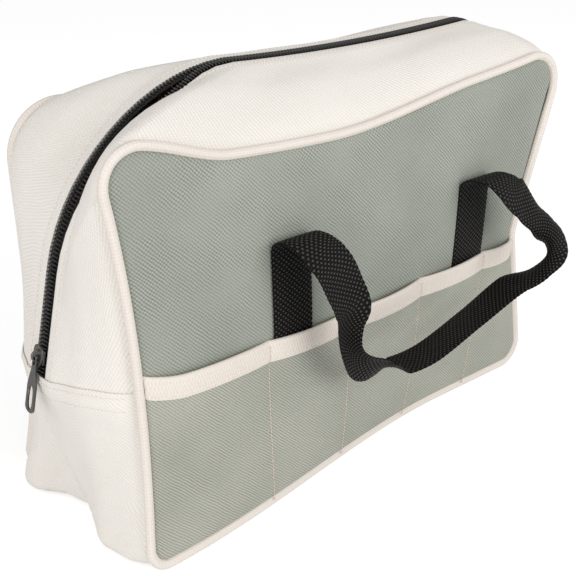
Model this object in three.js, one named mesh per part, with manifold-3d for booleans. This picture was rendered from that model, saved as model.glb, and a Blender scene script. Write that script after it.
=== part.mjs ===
import * as THREE from 'three';
import { mergeVertices } from 'three/addons/utils/BufferGeometryUtils.js';
import Module from 'manifold-3d';

// A zip-top tool bag that stands on its flat bottom. Millimetres, +Z up, the front face
// towards -Y, the length along X. The origin is on the floor under the middle of the bag.

// Cloth, cord and clearances
const CLOTH = 1.6;
const GAP = 0.3;
const PIPE_RADIUS = 2.75;

// Body: reaches are measured from the middle of the bag to its two ends, along the piping
const HALF_LENGTH = 180;
const HALF_DEPTH = 62;
const SEAM_HEIGHT = 104;
const FRONT_FOOT_LEFT = HALF_LENGTH - 1;
const FRONT_FOOT_RIGHT = HALF_LENGTH + 16;
const FRONT_WAIST_LEFT = HALF_LENGTH - 12;
const FRONT_WAIST_RIGHT = HALF_LENGTH - 16;
const FRONT_TOP_LEFT = HALF_LENGTH + 2;
const FRONT_TOP_RIGHT = HALF_LENGTH + 21;
const FRONT_TOP_HEIGHT = 258;
const FRONT_SAG = 11;
const REAR_FOOT_REACH = HALF_LENGTH + 8;
const REAR_WAIST_REACH = HALF_LENGTH - 9;
const REAR_TOP_REACH = HALF_LENGTH - 8;
const REAR_TOP_HEIGHT = FRONT_TOP_HEIGHT - 5;
const REAR_SAG = 4;
const WAIST_HEIGHT = SEAM_HEIGHT + 21;
const FRONT_CORNER_LEFT = 26;
const FRONT_CORNER_RIGHT = 34;
const REAR_CORNER = 34;
const FOOT_CORNER_LEFT = 14;
const FOOT_CORNER_RIGHT = 22;
const ROUND_BEND = 2;
const SLACK_BEND = 1.1;
const PANEL_BULGE = 8;
const FOOT_FORWARD_LEFT = 24;
const FOOT_BACK_RIGHT = 9;
const FOOT_TURN_LENGTH = 280;
const FOOT_TURN_FADE = 2.5;

// Zip line: it stands proud of the seams at both ends and along the top
const ZIP_FOOT_LEFT = HALF_LENGTH;
const ZIP_FOOT_RIGHT = HALF_LENGTH + 12;
const ZIP_PEAK_LEFT = HALF_LENGTH + 18;
const ZIP_PEAK_RIGHT = HALF_LENGTH + 17;
const ZIP_TOP_LEFT = HALF_LENGTH - 22;
const ZIP_TOP_RIGHT = HALF_LENGTH - 8;
const ZIP_TOP_HEIGHT = FRONT_TOP_HEIGHT + 18;
const ZIP_SAG = 3;
const ZIP_CORNER_LEFT = 104;
const ZIP_CORNER_RIGHT = 22;
const ZIP_STRIP_EDGE = 6.3;
const ZIP_ROW_GAP = 0.6;
const COIL_WIDTH = 4;
const COIL_HEIGHT = 2.6;
const TAPE_WIDTH = 13.4;
const TAPE_THICKNESS = 0.9;

// Slider and pull tab
const SLIDER_HEIGHT = SEAM_HEIGHT + 16;
const SLIDER_LENGTH = 13;
const SLIDER_HALF_WIDTH = 5.6;
const SLIDER_PLATE = 1.4;
const SLIDER_PLAY = 0.4;
const SLIDER_POST = 0.6;
const BAIL_LENGTH = 8.4;
const BAIL_HEIGHT = 4;
const BAIL_BAR = 1.5;
const BAIL_WIDTH = 2;
const TAB_LENGTH = 38;
const TAB_WIDTH = 7;
const TAB_THICKNESS = 1.4;
const TAB_EYE_LENGTH = 5.4;
const TAB_EYE_WIDTH = 3;
const TAB_SLOT_LENGTH = 12;
const TAB_SLOT_WIDTH = 2.8;

// Pocket on the front, sewn down along four divider lines
const POCKET_TOP = SEAM_HEIGHT + 18;
const POCKET_EASE = 10;
const BINDING_THICKNESS = 3;
const FIRST_DIVIDER = -80;
const DIVIDER_SPACING = 68.7;
const DIVIDER_COUNT = 4;

// Webbing handles
const WEB_WIDTH = 30;
const WEB_THICKNESS = 1.6;
const LEFT_END_X = FIRST_DIVIDER + 20;
const RIGHT_END_X = FIRST_DIVIDER + (DIVIDER_COUNT - 1) * DIVIDER_SPACING - 19.1;
const END_TOP = 178;
const CREST_Y = HALF_DEPTH + 21;
const CREST_Z = END_TOP + 10;
const LOOP_DROP = 100;
const LOOP_STANDOFF = 34;

const UP = new THREE.Vector3(0, 0, 1);

function smooth(value) {
  const t = THREE.MathUtils.clamp(value, 0, 1);
  return t * t * (3 - 2 * t);
}

// How far the foot of the front face stands forward of its top: the bag rests slightly twisted
function frontFootShift(x, z) {
  const along = smooth((x + FRONT_FOOT_LEFT) / FOOT_TURN_LENGTH);
  const fade = Math.max(1 - z / FRONT_TOP_HEIGHT, 0) ** FOOT_TURN_FADE;
  return THREE.MathUtils.lerp(FOOT_FORWARD_LEFT, -FOOT_BACK_RIGHT, along) * fade;
}

// The three long outlines of the bag, seen from the front: two piped seams and the zip line
const frontSeam = {
  side: -1,
  depth: (x, z) => HALF_DEPTH + frontFootShift(x, z),
  foot: [FRONT_FOOT_LEFT, FRONT_FOOT_RIGHT],
  waist: [FRONT_WAIST_LEFT, FRONT_WAIST_RIGHT],
  top: [FRONT_TOP_LEFT, FRONT_TOP_RIGHT],
  cornerRadius: [FRONT_CORNER_LEFT, FRONT_CORNER_RIGHT],
  footRadius: [FOOT_CORNER_LEFT, FOOT_CORNER_RIGHT],
  waistHeight: WAIST_HEIGHT,
  footHeight: PIPE_RADIUS,
  topHeight: FRONT_TOP_HEIGHT,
  sag: FRONT_SAG,
  bend: [ROUND_BEND, SLACK_BEND],
};
const rearSeam = {
  ...frontSeam,
  side: 1,
  depth: () => HALF_DEPTH,
  foot: [REAR_FOOT_REACH, REAR_FOOT_REACH],
  waist: [REAR_WAIST_REACH, REAR_WAIST_REACH],
  top: [REAR_TOP_REACH, REAR_TOP_REACH],
  cornerRadius: [REAR_CORNER, REAR_CORNER],
  topHeight: REAR_TOP_HEIGHT,
  sag: REAR_SAG,
  bend: [ROUND_BEND, ROUND_BEND],
};
const zipLine = {
  side: 0,
  depth: () => 0,
  foot: [ZIP_FOOT_LEFT, ZIP_FOOT_RIGHT],
  waist: [ZIP_PEAK_LEFT, ZIP_PEAK_RIGHT],
  top: [ZIP_TOP_LEFT, ZIP_TOP_RIGHT],
  cornerRadius: [ZIP_CORNER_LEFT, ZIP_CORNER_RIGHT],
  footRadius: [FOOT_CORNER_LEFT, FOOT_CORNER_RIGHT],
  waistHeight: SEAM_HEIGHT,
  footHeight: 0,
  topHeight: ZIP_TOP_HEIGHT,
  sag: ZIP_SAG,
  bend: [1, 1],
};

const ARC_STEPS = 6;
const LOWER_STEPS = 4;
const UPPER_STEPS = 6;
const EDGE_STEPS = 14;
const RIGHT_ANGLE = Math.PI / 2;

// Reach of one end of an outline at height z, end 0 on the left and end 1 on the right
function reachAt(line, end, z, inset) {
  const below = z < line.waistHeight;
  const span = below ? line.waistHeight - line.footHeight : line.topHeight - line.waistHeight;
  const t = Math.abs(z - line.waistHeight) / span;
  const far = below ? line.foot[end] : line.top[end];
  return line.waist[end] + (far - line.waist[end]) * t ** line.bend[end] - inset;
}

function outlinePoint(line, end, z, cut, inset) {
  const x = (end === 0 ? -1 : 1) * (reachAt(line, end, z, inset) - cut);
  return new THREE.Vector3(x, line.side * line.depth(x, z), z);
}

// One end of an outline from its bottom edge up to just below the cross seam
function lowerEnd(line, end, inset = 0) {
  const radius = line.footRadius[end] - inset;
  const foot = line.footHeight + inset;
  const seam = SEAM_HEIGHT - GAP / 2;
  const points = [];
  for (let i = 0; i <= ARC_STEPS; i++) {
    const angle = (RIGHT_ANGLE * i) / ARC_STEPS;
    const z = foot + radius * (1 - Math.cos(angle));
    points.push(outlinePoint(line, end, z, radius * (1 - Math.sin(angle)), inset));
  }
  for (let i = 1; i <= LOWER_STEPS; i++) {
    const z = THREE.MathUtils.lerp(foot + radius, seam, i / LOWER_STEPS);
    points.push(outlinePoint(line, end, z, 0, inset));
  }
  return points;
}

// One end of an outline from just above the cross seam up to its top edge
function upperEnd(line, end, inset = 0) {
  const radius = line.cornerRadius[end] - inset;
  const top = line.topHeight - inset;
  const seam = SEAM_HEIGHT + GAP / 2;
  const points = [];
  for (let i = 0; i <= UPPER_STEPS; i++) {
    const z = THREE.MathUtils.lerp(seam, top - radius, i / UPPER_STEPS);
    points.push(outlinePoint(line, end, z, 0, inset));
  }
  for (let i = 1; i <= ARC_STEPS; i++) {
    const angle = (RIGHT_ANGLE * i) / ARC_STEPS;
    const z = top - radius * (1 - Math.sin(angle));
    points.push(outlinePoint(line, end, z, radius * (1 - Math.cos(angle)), inset));
  }
  return points;
}

// A row of points between two ends, hanging below the straight line by the sag
function edgeRow(line, left, right, sag, steps) {
  const row = [];
  for (let i = 0; i <= steps; i++) {
    const s = i / steps;
    const x = THREE.MathUtils.lerp(left.x, right.x, s);
    const z = THREE.MathUtils.lerp(left.z, right.z, s) - sag * (1 - (2 * s - 1) ** 2);
    row.push(new THREE.Vector3(x, line.side * line.depth(x, z), z));
  }
  return row;
}

function lowerRing(line) {
  const left = lowerEnd(line, 0).reverse();
  const right = lowerEnd(line, 1);
  const bottom = edgeRow(line, left.at(-1), right[0], 0, EDGE_STEPS);
  return [...left, ...bottom.slice(1, -1), ...right];
}

function upperRing(line) {
  const left = upperEnd(line, 0);
  const right = upperEnd(line, 1).reverse();
  const top = edgeRow(line, left.at(-1), right[0], line.sag, EDGE_STEPS);
  return [...left, ...top.slice(1, -1), ...right];
}

// Closed geometry from positions and triangles, turned so that its faces point outwards
function solid(positions, triangles) {
  let volume = 0;
  const a = new THREE.Vector3();
  const b = new THREE.Vector3();
  const c = new THREE.Vector3();
  for (let i = 0; i < triangles.length; i += 3) {
    a.fromArray(positions, 3 * triangles[i]);
    b.fromArray(positions, 3 * triangles[i + 1]);
    c.fromArray(positions, 3 * triangles[i + 2]);
    volume += a.dot(b.cross(c));
  }
  const geometry = new THREE.BufferGeometry();
  geometry.setAttribute('position', new THREE.Float32BufferAttribute(positions, 3));
  geometry.setIndex(volume < 0 ? [...triangles].reverse() : triangles);
  geometry.computeVertexNormals();
  return geometry;
}

// A closed sheet between two grids of points of the same size
function slab(outer, inner) {
  const rows = outer.length;
  const columns = outer[0].length;
  const positions = [outer, inner].flat(2).flatMap((point) => point.toArray());
  const index = (layer, i, j) => (layer * rows + i) * columns + j;
  const triangles = [];
  const quad = (p, q, r, s) => triangles.push(p, q, r, p, r, s);
  for (let i = 0; i < rows - 1; i++) {
    for (let j = 0; j < columns - 1; j++) {
      quad(index(0, i, j), index(0, i, j + 1), index(0, i + 1, j + 1), index(0, i + 1, j));
      quad(index(1, i, j), index(1, i + 1, j), index(1, i + 1, j + 1), index(1, i, j + 1));
    }
    quad(index(0, i, 0), index(0, i + 1, 0), index(1, i + 1, 0), index(1, i, 0));
    const last = columns - 1;
    quad(index(0, i, last), index(1, i, last), index(1, i + 1, last), index(0, i + 1, last));
  }
  for (let j = 0; j < columns - 1; j++) {
    quad(index(0, 0, j), index(1, 0, j), index(1, 0, j + 1), index(0, 0, j + 1));
    const last = rows - 1;
    quad(index(0, last, j), index(0, last, j + 1), index(1, last, j + 1), index(1, last, j));
  }
  return solid(positions, triangles);
}

// A closed round cord through the points of a seam line
const CORD_SIDES = 8;
function cord(points, radius) {
  const positions = [];
  const triangles = [];
  points.forEach((point, i) => {
    const ahead = points[Math.min(i + 1, points.length - 1)];
    const tangent = ahead.clone().sub(points[Math.max(i - 1, 0)]).normalize();
    const across = new THREE.Vector3(0, 1, 0).addScaledVector(tangent, -tangent.y).normalize();
    const out = across.clone().cross(tangent);
    for (let k = 0; k < CORD_SIDES; k++) {
      const angle = (2 * Math.PI * k) / CORD_SIDES;
      const rim = point.clone().addScaledVector(across, radius * Math.cos(angle));
      rim.addScaledVector(out, radius * Math.sin(angle));
      positions.push(...rim.toArray());
    }
  });
  for (let i = 0; i < points.length - 1; i++) {
    for (let k = 0; k < CORD_SIDES; k++) {
      const next = (k + 1) % CORD_SIDES;
      const low = i * CORD_SIDES;
      const high = low + CORD_SIDES;
      triangles.push(low + k, low + next, high + next, low + k, high + next, high + k);
    }
  }
  const end = (points.length - 1) * CORD_SIDES;
  for (let k = 1; k < CORD_SIDES - 1; k++) {
    triangles.push(0, k + 1, k, end, end + k, end + k + 1);
  }
  return solid(positions, triangles);
}

// Outer face of a panel, bulging between its seams
function panelFace(line, x, z, proud = 0) {
  const reach = x < 0 ? line.waist[0] : line.waist[1];
  const middle = line.topHeight / 2;
  const crown = Math.max(1 - (x / reach) ** 2, 0) * Math.max(1 - (z / middle - 1) ** 2, 0);
  const depth = line.depth(x, z) + CLOTH / 2 + PANEL_BULGE * crown + proud;
  return new THREE.Vector3(x, line.side * depth, z);
}

function thicken(line, grid, thickness) {
  const inward = new THREE.Vector3(0, -line.side * thickness, 0);
  return slab(grid, grid.map((row) => row.map((point) => point.clone().add(inward))));
}

const PANEL_INSET = PIPE_RADIUS + GAP;

// A panel between its left and right ends, one row for each pair of points
function panel(line, ends, sagOf) {
  const grid = ends[0].map((left, i) => {
    const row = edgeRow(line, left, ends[1][i], sagOf(left.z), EDGE_STEPS);
    return row.map((point) => panelFace(line, point.x, point.z));
  });
  return thicken(line, grid, CLOTH);
}

function upperPanel(line) {
  const span = line.topHeight - PANEL_INSET - SEAM_HEIGHT;
  const sagOf = (z) => line.sag * Math.max((z - SEAM_HEIGHT) / span, 0) ** 2;
  return panel(line, [0, 1].map((end) => upperEnd(line, end, PANEL_INSET)), sagOf);
}

function lowerPanel(line) {
  return panel(line, [0, 1].map((end) => lowerEnd(line, end, PANEL_INSET)), () => 0);
}

// Where the gusset cloth meets a seam: flush with the outside of the piping
function gussetEdges(line, ring) {
  return ring.map((point, i) => {
    const ahead = ring[Math.min(i + 1, ring.length - 1)];
    const tangent = ahead.clone().sub(ring[Math.max(i - 1, 0)]).setY(0).normalize();
    const out = new THREE.Vector3(-tangent.z, 0, tangent.x);
    const middle = new THREE.Vector3(0, 0, line.topHeight / 2);
    if (out.dot(point.clone().sub(middle)) < 0) out.negate();
    const edge = point.clone().addScaledVector(out, PIPE_RADIUS);
    edge.y -= line.side * PANEL_INSET;
    return edge;
  });
}

// Frames along the zip line: where it is, which way is out, and where the cloth of each side
// ends at its piping. The first and last lie level, so that cloth above and below the cross
// seams meets face to face.
function zipFrames(peaks, fronts, rears) {
  return peaks.map((peak, i) => {
    const inside = i > 0 && i < peaks.length - 1;
    const tangent = inside ? peaks[i + 1].clone().sub(peaks[i - 1]).normalize() : UP.clone();
    const out = new THREE.Vector3(-tangent.z, 0, tangent.x);
    if (out.dot(peak.clone().sub(new THREE.Vector3(0, 0, HALF_DEPTH))) < 0) out.negate();
    return { peak, out, front: fronts[i], rear: rears[i] };
  });
}

const upperFrames = zipFrames(
  upperRing(zipLine),
  gussetEdges(frontSeam, upperRing(frontSeam)),
  gussetEdges(rearSeam, upperRing(rearSeam)),
);
const lowerFrames = zipFrames(
  lowerRing(zipLine),
  gussetEdges(frontSeam, lowerRing(frontSeam)),
  gussetEdges(rearSeam, lowerRing(rearSeam)),
);
const TAPE_LEVEL = -CLOTH - GAP;
const COIL_LEVEL = TAPE_LEVEL + GAP + COIL_HEIGHT;
const COIL_EDGE = ZIP_ROW_GAP + COIL_WIDTH;
const TAPE_EDGE = ZIP_ROW_GAP + TAPE_WIDTH;

// A point on the flat land beside the zip line
function beside(frame, side, distance) {
  return frame.peak.clone().add(new THREE.Vector3(0, side * distance, 0));
}

// A sheet with one row of points for each zip frame, between two heights over the gusset
function band(frames, rowOf, level, thickness) {
  const layer = (height) => frames.map((frame) => {
    return rowOf(frame).map((point) => point.clone().addScaledVector(frame.out, height));
  });
  return slab(layer(level), layer(level - thickness));
}

function zipStrip(name, side) {
  const rowOf = (frame) => [
    beside(frame, side, ZIP_STRIP_EDGE),
    beside(frame, side, TAPE_EDGE),
    beside(frame, side, TAPE_EDGE).lerp(frame[name], 0.5),
    frame[name],
  ];
  return band(upperFrames, rowOf, 0, CLOTH);
}

function zipTape(side) {
  const stops = [ZIP_ROW_GAP, COIL_EDGE, ZIP_STRIP_EDGE, TAPE_EDGE];
  const rowOf = (frame) => stops.map((stop) => beside(frame, side, stop));
  return band(upperFrames, rowOf, TAPE_LEVEL, TAPE_THICKNESS);
}

function zipCoil(side) {
  const rowOf = (frame) => [ZIP_ROW_GAP, COIL_EDGE].map((stop) => beside(frame, side, stop));
  return band(upperFrames, rowOf, COIL_LEVEL, COIL_HEIGHT);
}

// Lower gusset: the bottom and the two lower end walls in one piece
function lowerGusset() {
  const rowOf = (frame) => [
    frame.front,
    beside(frame, -1, TAPE_EDGE).lerp(frame.front, 0.5),
    beside(frame, -1, TAPE_EDGE),
    beside(frame, 1, TAPE_EDGE),
    beside(frame, 1, TAPE_EDGE).lerp(frame.rear, 0.5),
    frame.rear,
  ];
  return band(lowerFrames, rowOf, 0, CLOTH);
}

// The pocket stands away from the panel between its divider lines and meets it along them
const dividers = Array.from({ length: DIVIDER_COUNT }, (_, i) => {
  return FIRST_DIVIDER + i * DIVIDER_SPACING;
});
const SLOT_STATIONS = [0, 0.06, 0.2, 0.5, 0.8, 0.94];

function pocketRow(left, right, proud) {
  const stops = [left.x, ...dividers, right.x];
  const row = [];
  for (let slot = 0; slot < stops.length - 1; slot++) {
    for (const t of SLOT_STATIONS) {
      const x = THREE.MathUtils.lerp(stops[slot], stops[slot + 1], t);
      const z = THREE.MathUtils.mapLinear(x, left.x, right.x, left.z, right.z);
      const lift = GAP + POCKET_EASE * (z / POCKET_TOP) * (1 - (2 * t - 1) ** 4);
      row.push(panelFace(frontSeam, x, z, lift + proud));
    }
  }
  row.push(panelFace(frontSeam, right.x, right.z, GAP + proud));
  return row;
}

function pocketPanel() {
  const ends = [0, 1].map((end) => lowerEnd(frontSeam, end, PANEL_INSET));
  const grid = ends[0].map((left, i) => pocketRow(left, ends[1][i], CLOTH));
  return thicken(frontSeam, grid, CLOTH);
}

const BINDING_ROWS = 2;
function pocketBinding() {
  const grid = [];
  for (let i = 0; i <= BINDING_ROWS; i++) {
    const z = THREE.MathUtils.lerp(SEAM_HEIGHT + GAP / 2, POCKET_TOP, i / BINDING_ROWS);
    const ends = [0, 1].map((end) => outlinePoint(frontSeam, end, z, 0, PANEL_INSET));
    grid.push(pocketRow(...ends, BINDING_THICKNESS));
  }
  return thicken(frontSeam, grid, BINDING_THICKNESS);
}

// Sewn end of a handle: flat on the panel, then curling out to the crest of the handle
const END_COLUMNS = 4;
const END_ROWS = 6;
const CURL_STEPS = 6;
function handleEnd(line, middle) {
  const outer = [];
  const inner = [];
  const columns = Array.from({ length: END_COLUMNS + 1 }, (_, j) => {
    return middle + WEB_WIDTH * (j / END_COLUMNS - 0.5);
  });
  for (let i = 0; i <= END_ROWS; i++) {
    const z = THREE.MathUtils.lerp(SEAM_HEIGHT + GAP / 2, END_TOP, i / END_ROWS);
    inner.push(columns.map((x) => panelFace(line, x, z, GAP)));
    outer.push(columns.map((x) => panelFace(line, x, z, GAP + WEB_THICKNESS)));
  }
  const curl = (thickness, start, angle) => {
    const depth = Math.abs(start.y);
    const y = THREE.MathUtils.lerp(depth, CREST_Y, 1 - Math.cos(angle));
    const z = END_TOP + (CREST_Z - WEB_THICKNESS + thickness - END_TOP) * Math.sin(angle);
    return new THREE.Vector3(start.x, line.side * y, z);
  };
  const rowOut = inner.at(-1);
  const rowIn = outer.at(-1);
  for (let i = 1; i <= CURL_STEPS; i++) {
    const angle = (RIGHT_ANGLE * i) / CURL_STEPS;
    inner.push(rowOut.map((start) => curl(WEB_THICKNESS, start, angle)));
    outer.push(rowIn.map((start) => curl(0, start, angle)));
  }
  return slab(outer, inner);
}

// The free loop of a handle: it hangs from the left crest, twists on edge round its lower
// corner, runs across as the grip, and comes back over a second twist to the right crest.
// Each stop has its place as shares of the way from the left crest to the right one, of the
// standoff and of the drop, and the direction of the strap's width there.
const loopRoute = [
  { along: 0.004, out: 0.2, down: 0.018, across: [1, 0.03, 0.01] },
  { along: 0.035, out: 0.36, down: 0.075, across: [1, 0.08, 0.05] },
  { along: 0.077, out: 0.456, down: 0.145, across: [1, 0.13, 0.08] },
  { along: 0.098, out: 0.597, down: 0.305, across: [1, 0.07, 0] },
  { along: 0.111, out: 0.676, down: 0.45, across: [1, -0.05, -0.1] },
  { along: 0.106, out: 0.618, down: 0.58, across: [1, -0.07, 0.07] },
  { along: 0.128, out: 0.553, down: 0.75, across: [0.9, -0.2, 0.4] },
  { along: 0.21, out: 0.485, down: 0.92, across: [0.4, -0.4, 0.85] },
  { along: 0.306, out: 0.529, down: 0.985, across: [-0.35, -0.55, 0.8] },
  { along: 0.383, out: 0.647, down: 1, across: [-0.65, -0.75, 0.25] },
  { along: 0.497, out: 0.735, down: 0.975, across: [-0.53, -0.84, 0.07] },
  { along: 0.755, out: 0.765, down: 0.845, across: [-0.43, -0.88, 0.1] },
  { along: 0.989, out: 0.824, down: 0.7, across: [-0.45, -0.87, 0.03] },
  { along: 1.126, out: 0.941, down: 0.655, across: [-0.5, -0.8, 0.2] },
  { along: 1.218, out: 0.985, down: 0.585, across: [-0.2, -0.9, 0.3] },
  { along: 1.246, out: 0.853, down: 0.49, across: [0.45, -0.8, 0.1] },
  { along: 1.224, out: 0.676, down: 0.39, across: [0.9, -0.35, -0.1] },
  { along: 1.186, out: 0.485, down: 0.285, across: [0.97, -0.15, -0.15] },
  { along: 1.129, out: 0.382, down: 0.17, across: [1, -0.12, -0.12] },
  { along: 1.048, out: 0.335, down: 0.065, across: [1, -0.06, -0.05] },
  { along: 1.005, out: 0.2, down: 0.015, across: [1, -0.02, 0] },
];
const LOOP_STEPS = 66;

function handleLoop(line) {
  const crest = (x) => {
    return new THREE.Vector3(x, line.side * (CREST_Y + GAP), CREST_Z - WEB_THICKNESS / 2);
  };
  const place = (stop) => new THREE.Vector3(
    THREE.MathUtils.lerp(LEFT_END_X, RIGHT_END_X, stop.along),
    line.side * (CREST_Y + LOOP_STANDOFF * stop.out),
    CREST_Z - LOOP_DROP * stop.down,
  );
  const width = ([x, y, z]) => new THREE.Vector3(x, -line.side * y, z);
  const level = width([1, 0, 0]);
  const centre = new THREE.CatmullRomCurve3(
    [crest(LEFT_END_X), ...loopRoute.map(place), crest(RIGHT_END_X)],
  );
  const across = new THREE.CatmullRomCurve3(
    [level, ...loopRoute.map((stop) => width(stop.across)), level],
  );
  const outer = [];
  const inner = [];
  for (let i = 0; i <= LOOP_STEPS; i++) {
    const t = i / LOOP_STEPS;
    const point = centre.getPoint(t);
    let tangent = centre.getTangent(t);
    if (i === 0) tangent = new THREE.Vector3(0, line.side, 0);
    if (i === LOOP_STEPS) tangent = new THREE.Vector3(0, -line.side, 0);
    const flat = across.getPoint(t).projectOnPlane(tangent).normalize();
    const normal = tangent.clone().cross(flat);
    const corner = (u, v) => point.clone()
      .addScaledVector(flat, (u * WEB_WIDTH) / 2)
      .addScaledVector(normal, (v * WEB_THICKNESS) / 2);
    outer.push([corner(-1, 1), corner(1, 1)]);
    inner.push([corner(-1, -1), corner(1, -1)]);
  }
  return slab(outer, inner);
}

// Slider and pull tab are placed on the straight lower stretch of the zip at the left end
const zipStart = outlinePoint(zipLine, 0, SEAM_HEIGHT, 0, 0);
const zipAhead = outlinePoint(zipLine, 0, ZIP_TOP_HEIGHT - ZIP_CORNER_LEFT, 0, 0);
const zipAlong = zipAhead.clone().sub(zipStart).normalize();
const zipOut = new THREE.Vector3(-zipAlong.z, 0, zipAlong.x);
const sliderCentre = outlinePoint(zipLine, 0, SLIDER_HEIGHT, 0, 0);

const wasm = await Module();
wasm.setup();

function toManifold(geometry) {
  const bare = geometry.clone();
  bare.deleteAttribute('normal');
  bare.deleteAttribute('uv');
  const merged = mergeVertices(bare);
  return new wasm.Manifold(new wasm.Mesh({
    numProp: 3,
    vertProperties: new Float32Array(merged.attributes.position.array),
    triVerts: new Uint32Array(merged.index.array),
  }));
}

function fromManifold(manifold) {
  const result = manifold.getMesh();
  return solid([...result.vertProperties], [...result.triVerts]);
}

// An outline in the plane of two directions, pushed to both sides along a third
function plate(points, holes, origin, directions, thickness) {
  const shape = new THREE.Shape(points.map(([x, y]) => new THREE.Vector2(x, y)));
  for (const hole of holes) {
    shape.holes.push(new THREE.Path(hole.map(([x, y]) => new THREE.Vector2(x, y))));
  }
  const geometry = new THREE.ExtrudeGeometry(shape, { depth: thickness, bevelEnabled: false });
  geometry.translate(0, 0, -thickness / 2);
  geometry.applyMatrix4(new THREE.Matrix4().makeBasis(...directions).setPosition(origin));
  return geometry;
}

// A rectangle with round or cut corners, about a middle point
const CORNER_STEPS = 3;
function roundedBox(middleX, middleY, width, height, radius) {
  const points = [];
  const corners = [[1, 1], [-1, 1], [-1, -1], [1, -1]];
  corners.forEach(([sx, sy], k) => {
    for (let i = 0; i <= CORNER_STEPS; i++) {
      const angle = RIGHT_ANGLE * (k + i / CORNER_STEPS);
      const x = middleX + sx * (width / 2 - radius) + radius * Math.cos(angle);
      const y = middleY + sy * (height / 2 - radius) + radius * Math.sin(angle);
      points.push([x, y]);
    }
  });
  return points;
}

const SLIDER_TOP = COIL_LEVEL + SLIDER_PLAY + SLIDER_PLATE;
const SLIDER_BOTTOM = TAPE_LEVEL - TAPE_THICKNESS - SLIDER_PLAY - SLIDER_PLATE;
const PLATE_CORNER = 2;
const ACROSS = new THREE.Vector3(0, 1, 0);
const sliderSide = zipAlong.clone().cross(zipOut);

function slider() {
  const level = (height) => sliderCentre.clone().addScaledVector(zipOut, height);
  const facing = zipAlong.clone().cross(ACROSS);
  const flat = (outline, low, high) => plate(
    outline, [], level((low + high) / 2), [zipAlong, ACROSS, facing], high - low,
  );
  const outline = roundedBox(0, 0, SLIDER_LENGTH, 2 * SLIDER_HALF_WIDTH, PLATE_CORNER);
  const postLength = SLIDER_LENGTH - 2 * PLATE_CORNER;
  const postOutline = roundedBox(0, 0, postLength, SLIDER_POST, SLIDER_POST / 3);
  const half = SLIDER_PLATE / 2;
  const cover = toManifold(flat(outline, SLIDER_TOP - SLIDER_PLATE, SLIDER_TOP));
  const back = toManifold(flat(outline, SLIDER_BOTTOM, SLIDER_BOTTOM + SLIDER_PLATE));
  const post = toManifold(flat(postOutline, SLIDER_BOTTOM + half, SLIDER_TOP - half));
  const upright = [zipAlong, zipOut, sliderSide];
  const outside = roundedBox(0, 0, BAIL_LENGTH, 2 * BAIL_HEIGHT, BAIL_BAR);
  const window = [BAIL_LENGTH - 2 * BAIL_BAR, 2 * (BAIL_HEIGHT - BAIL_BAR)];
  const inside = roundedBox(0, 0, ...window, BAIL_BAR / 2);
  const ring = toManifold(plate(outside, [inside], level(SLIDER_TOP), upright, BAIL_WIDTH));
  const arch = ring.trimByPlane(zipOut.toArray(), level(SLIDER_TOP - half).dot(zipOut));
  return fromManifold(cover.add(post).add(back).add(arch));
}

// The tab hangs along the zip from its cross bar, which lies under the arch of the slider
const TAB_LEVEL = SLIDER_TOP + (BAIL_HEIGHT - BAIL_BAR) / 2;
const tabHinge = sliderCentre.clone().addScaledVector(zipOut, TAB_LEVEL);
function pullTab() {
  const down = zipAlong.clone().negate();
  const bar = TAB_THICKNESS;
  const middle = (TAB_LENGTH - bar) / 2;
  const outline = roundedBox(0, middle, TAB_WIDTH, TAB_LENGTH, TAB_WIDTH / 3);
  const eye = roundedBox(0, bar / 2 + TAB_EYE_LENGTH / 2, TAB_EYE_WIDTH, TAB_EYE_LENGTH, bar / 3);
  const slotMiddle = TAB_LENGTH - TAB_SLOT_LENGTH / 2 - 2 * bar;
  const slot = roundedBox(0, slotMiddle, TAB_SLOT_WIDTH, TAB_SLOT_LENGTH, TAB_SLOT_WIDTH / 2.1);
  return plate(outline, [eye, slot], tabHinge, [ACROSS, down, zipOut], TAB_THICKNESS);
}

const sage = new THREE.MeshStandardMaterial({ color: 0xaeb0a4, roughness: 0.9, metalness: 0 });
const cream = new THREE.MeshStandardMaterial({ color: 0xe9e1d6, roughness: 0.9, metalness: 0 });
const webbing = new THREE.MeshStandardMaterial({ color: 0x1b1a1a, roughness: 0.8, metalness: 0 });
const nylon = new THREE.MeshStandardMaterial({ color: 0x222222, roughness: 0.6, metalness: 0 });
const metal = new THREE.MeshStandardMaterial({ color: 0x2e2d2c, roughness: 0.4, metalness: 0.7 });

const bag = new THREE.Group();
function add(name, geometry, material) {
  const mesh = new THREE.Mesh(geometry, material.clone());
  mesh.name = name;
  bag.add(mesh);
}

for (const [name, line] of [['front', frontSeam], ['rear', rearSeam]]) {
  add(`${name}_panel_lower`, lowerPanel(line), sage);
  add(`${name}_panel_upper`, upperPanel(line), sage);
  add(`${name}_piping_lower`, cord(lowerRing(line), PIPE_RADIUS), cream);
  add(`${name}_piping_upper`, cord(upperRing(line), PIPE_RADIUS), cream);
  add(`${name}_zip_strip`, zipStrip(name, line.side), cream);
  add(`${name}_zip_tape`, zipTape(line.side), nylon);
  add(`${name}_zip_coil`, zipCoil(line.side), nylon);
  add(`${name}_handle_left_end`, handleEnd(line, LEFT_END_X), webbing);
  add(`${name}_handle_right_end`, handleEnd(line, RIGHT_END_X), webbing);
  add(`${name}_handle_loop`, handleLoop(line), webbing);
}
add('lower_gusset', lowerGusset(), cream);
add('pocket_panel', pocketPanel(), sage);
add('pocket_binding', pocketBinding(), cream);
add('zip_slider', slider(), metal);
add('zip_pull_tab', pullTab(), metal);

export default bag;
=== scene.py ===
"""A zip-top tool bag of oxford cloth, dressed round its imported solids.

The bag stands on the floor at the origin with its front face towards -Y and its length
along X. Shapes are worked out in millimetres and made in metres.
"""

import math

import bpy
import numpy as np
from mathutils import Matrix


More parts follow.
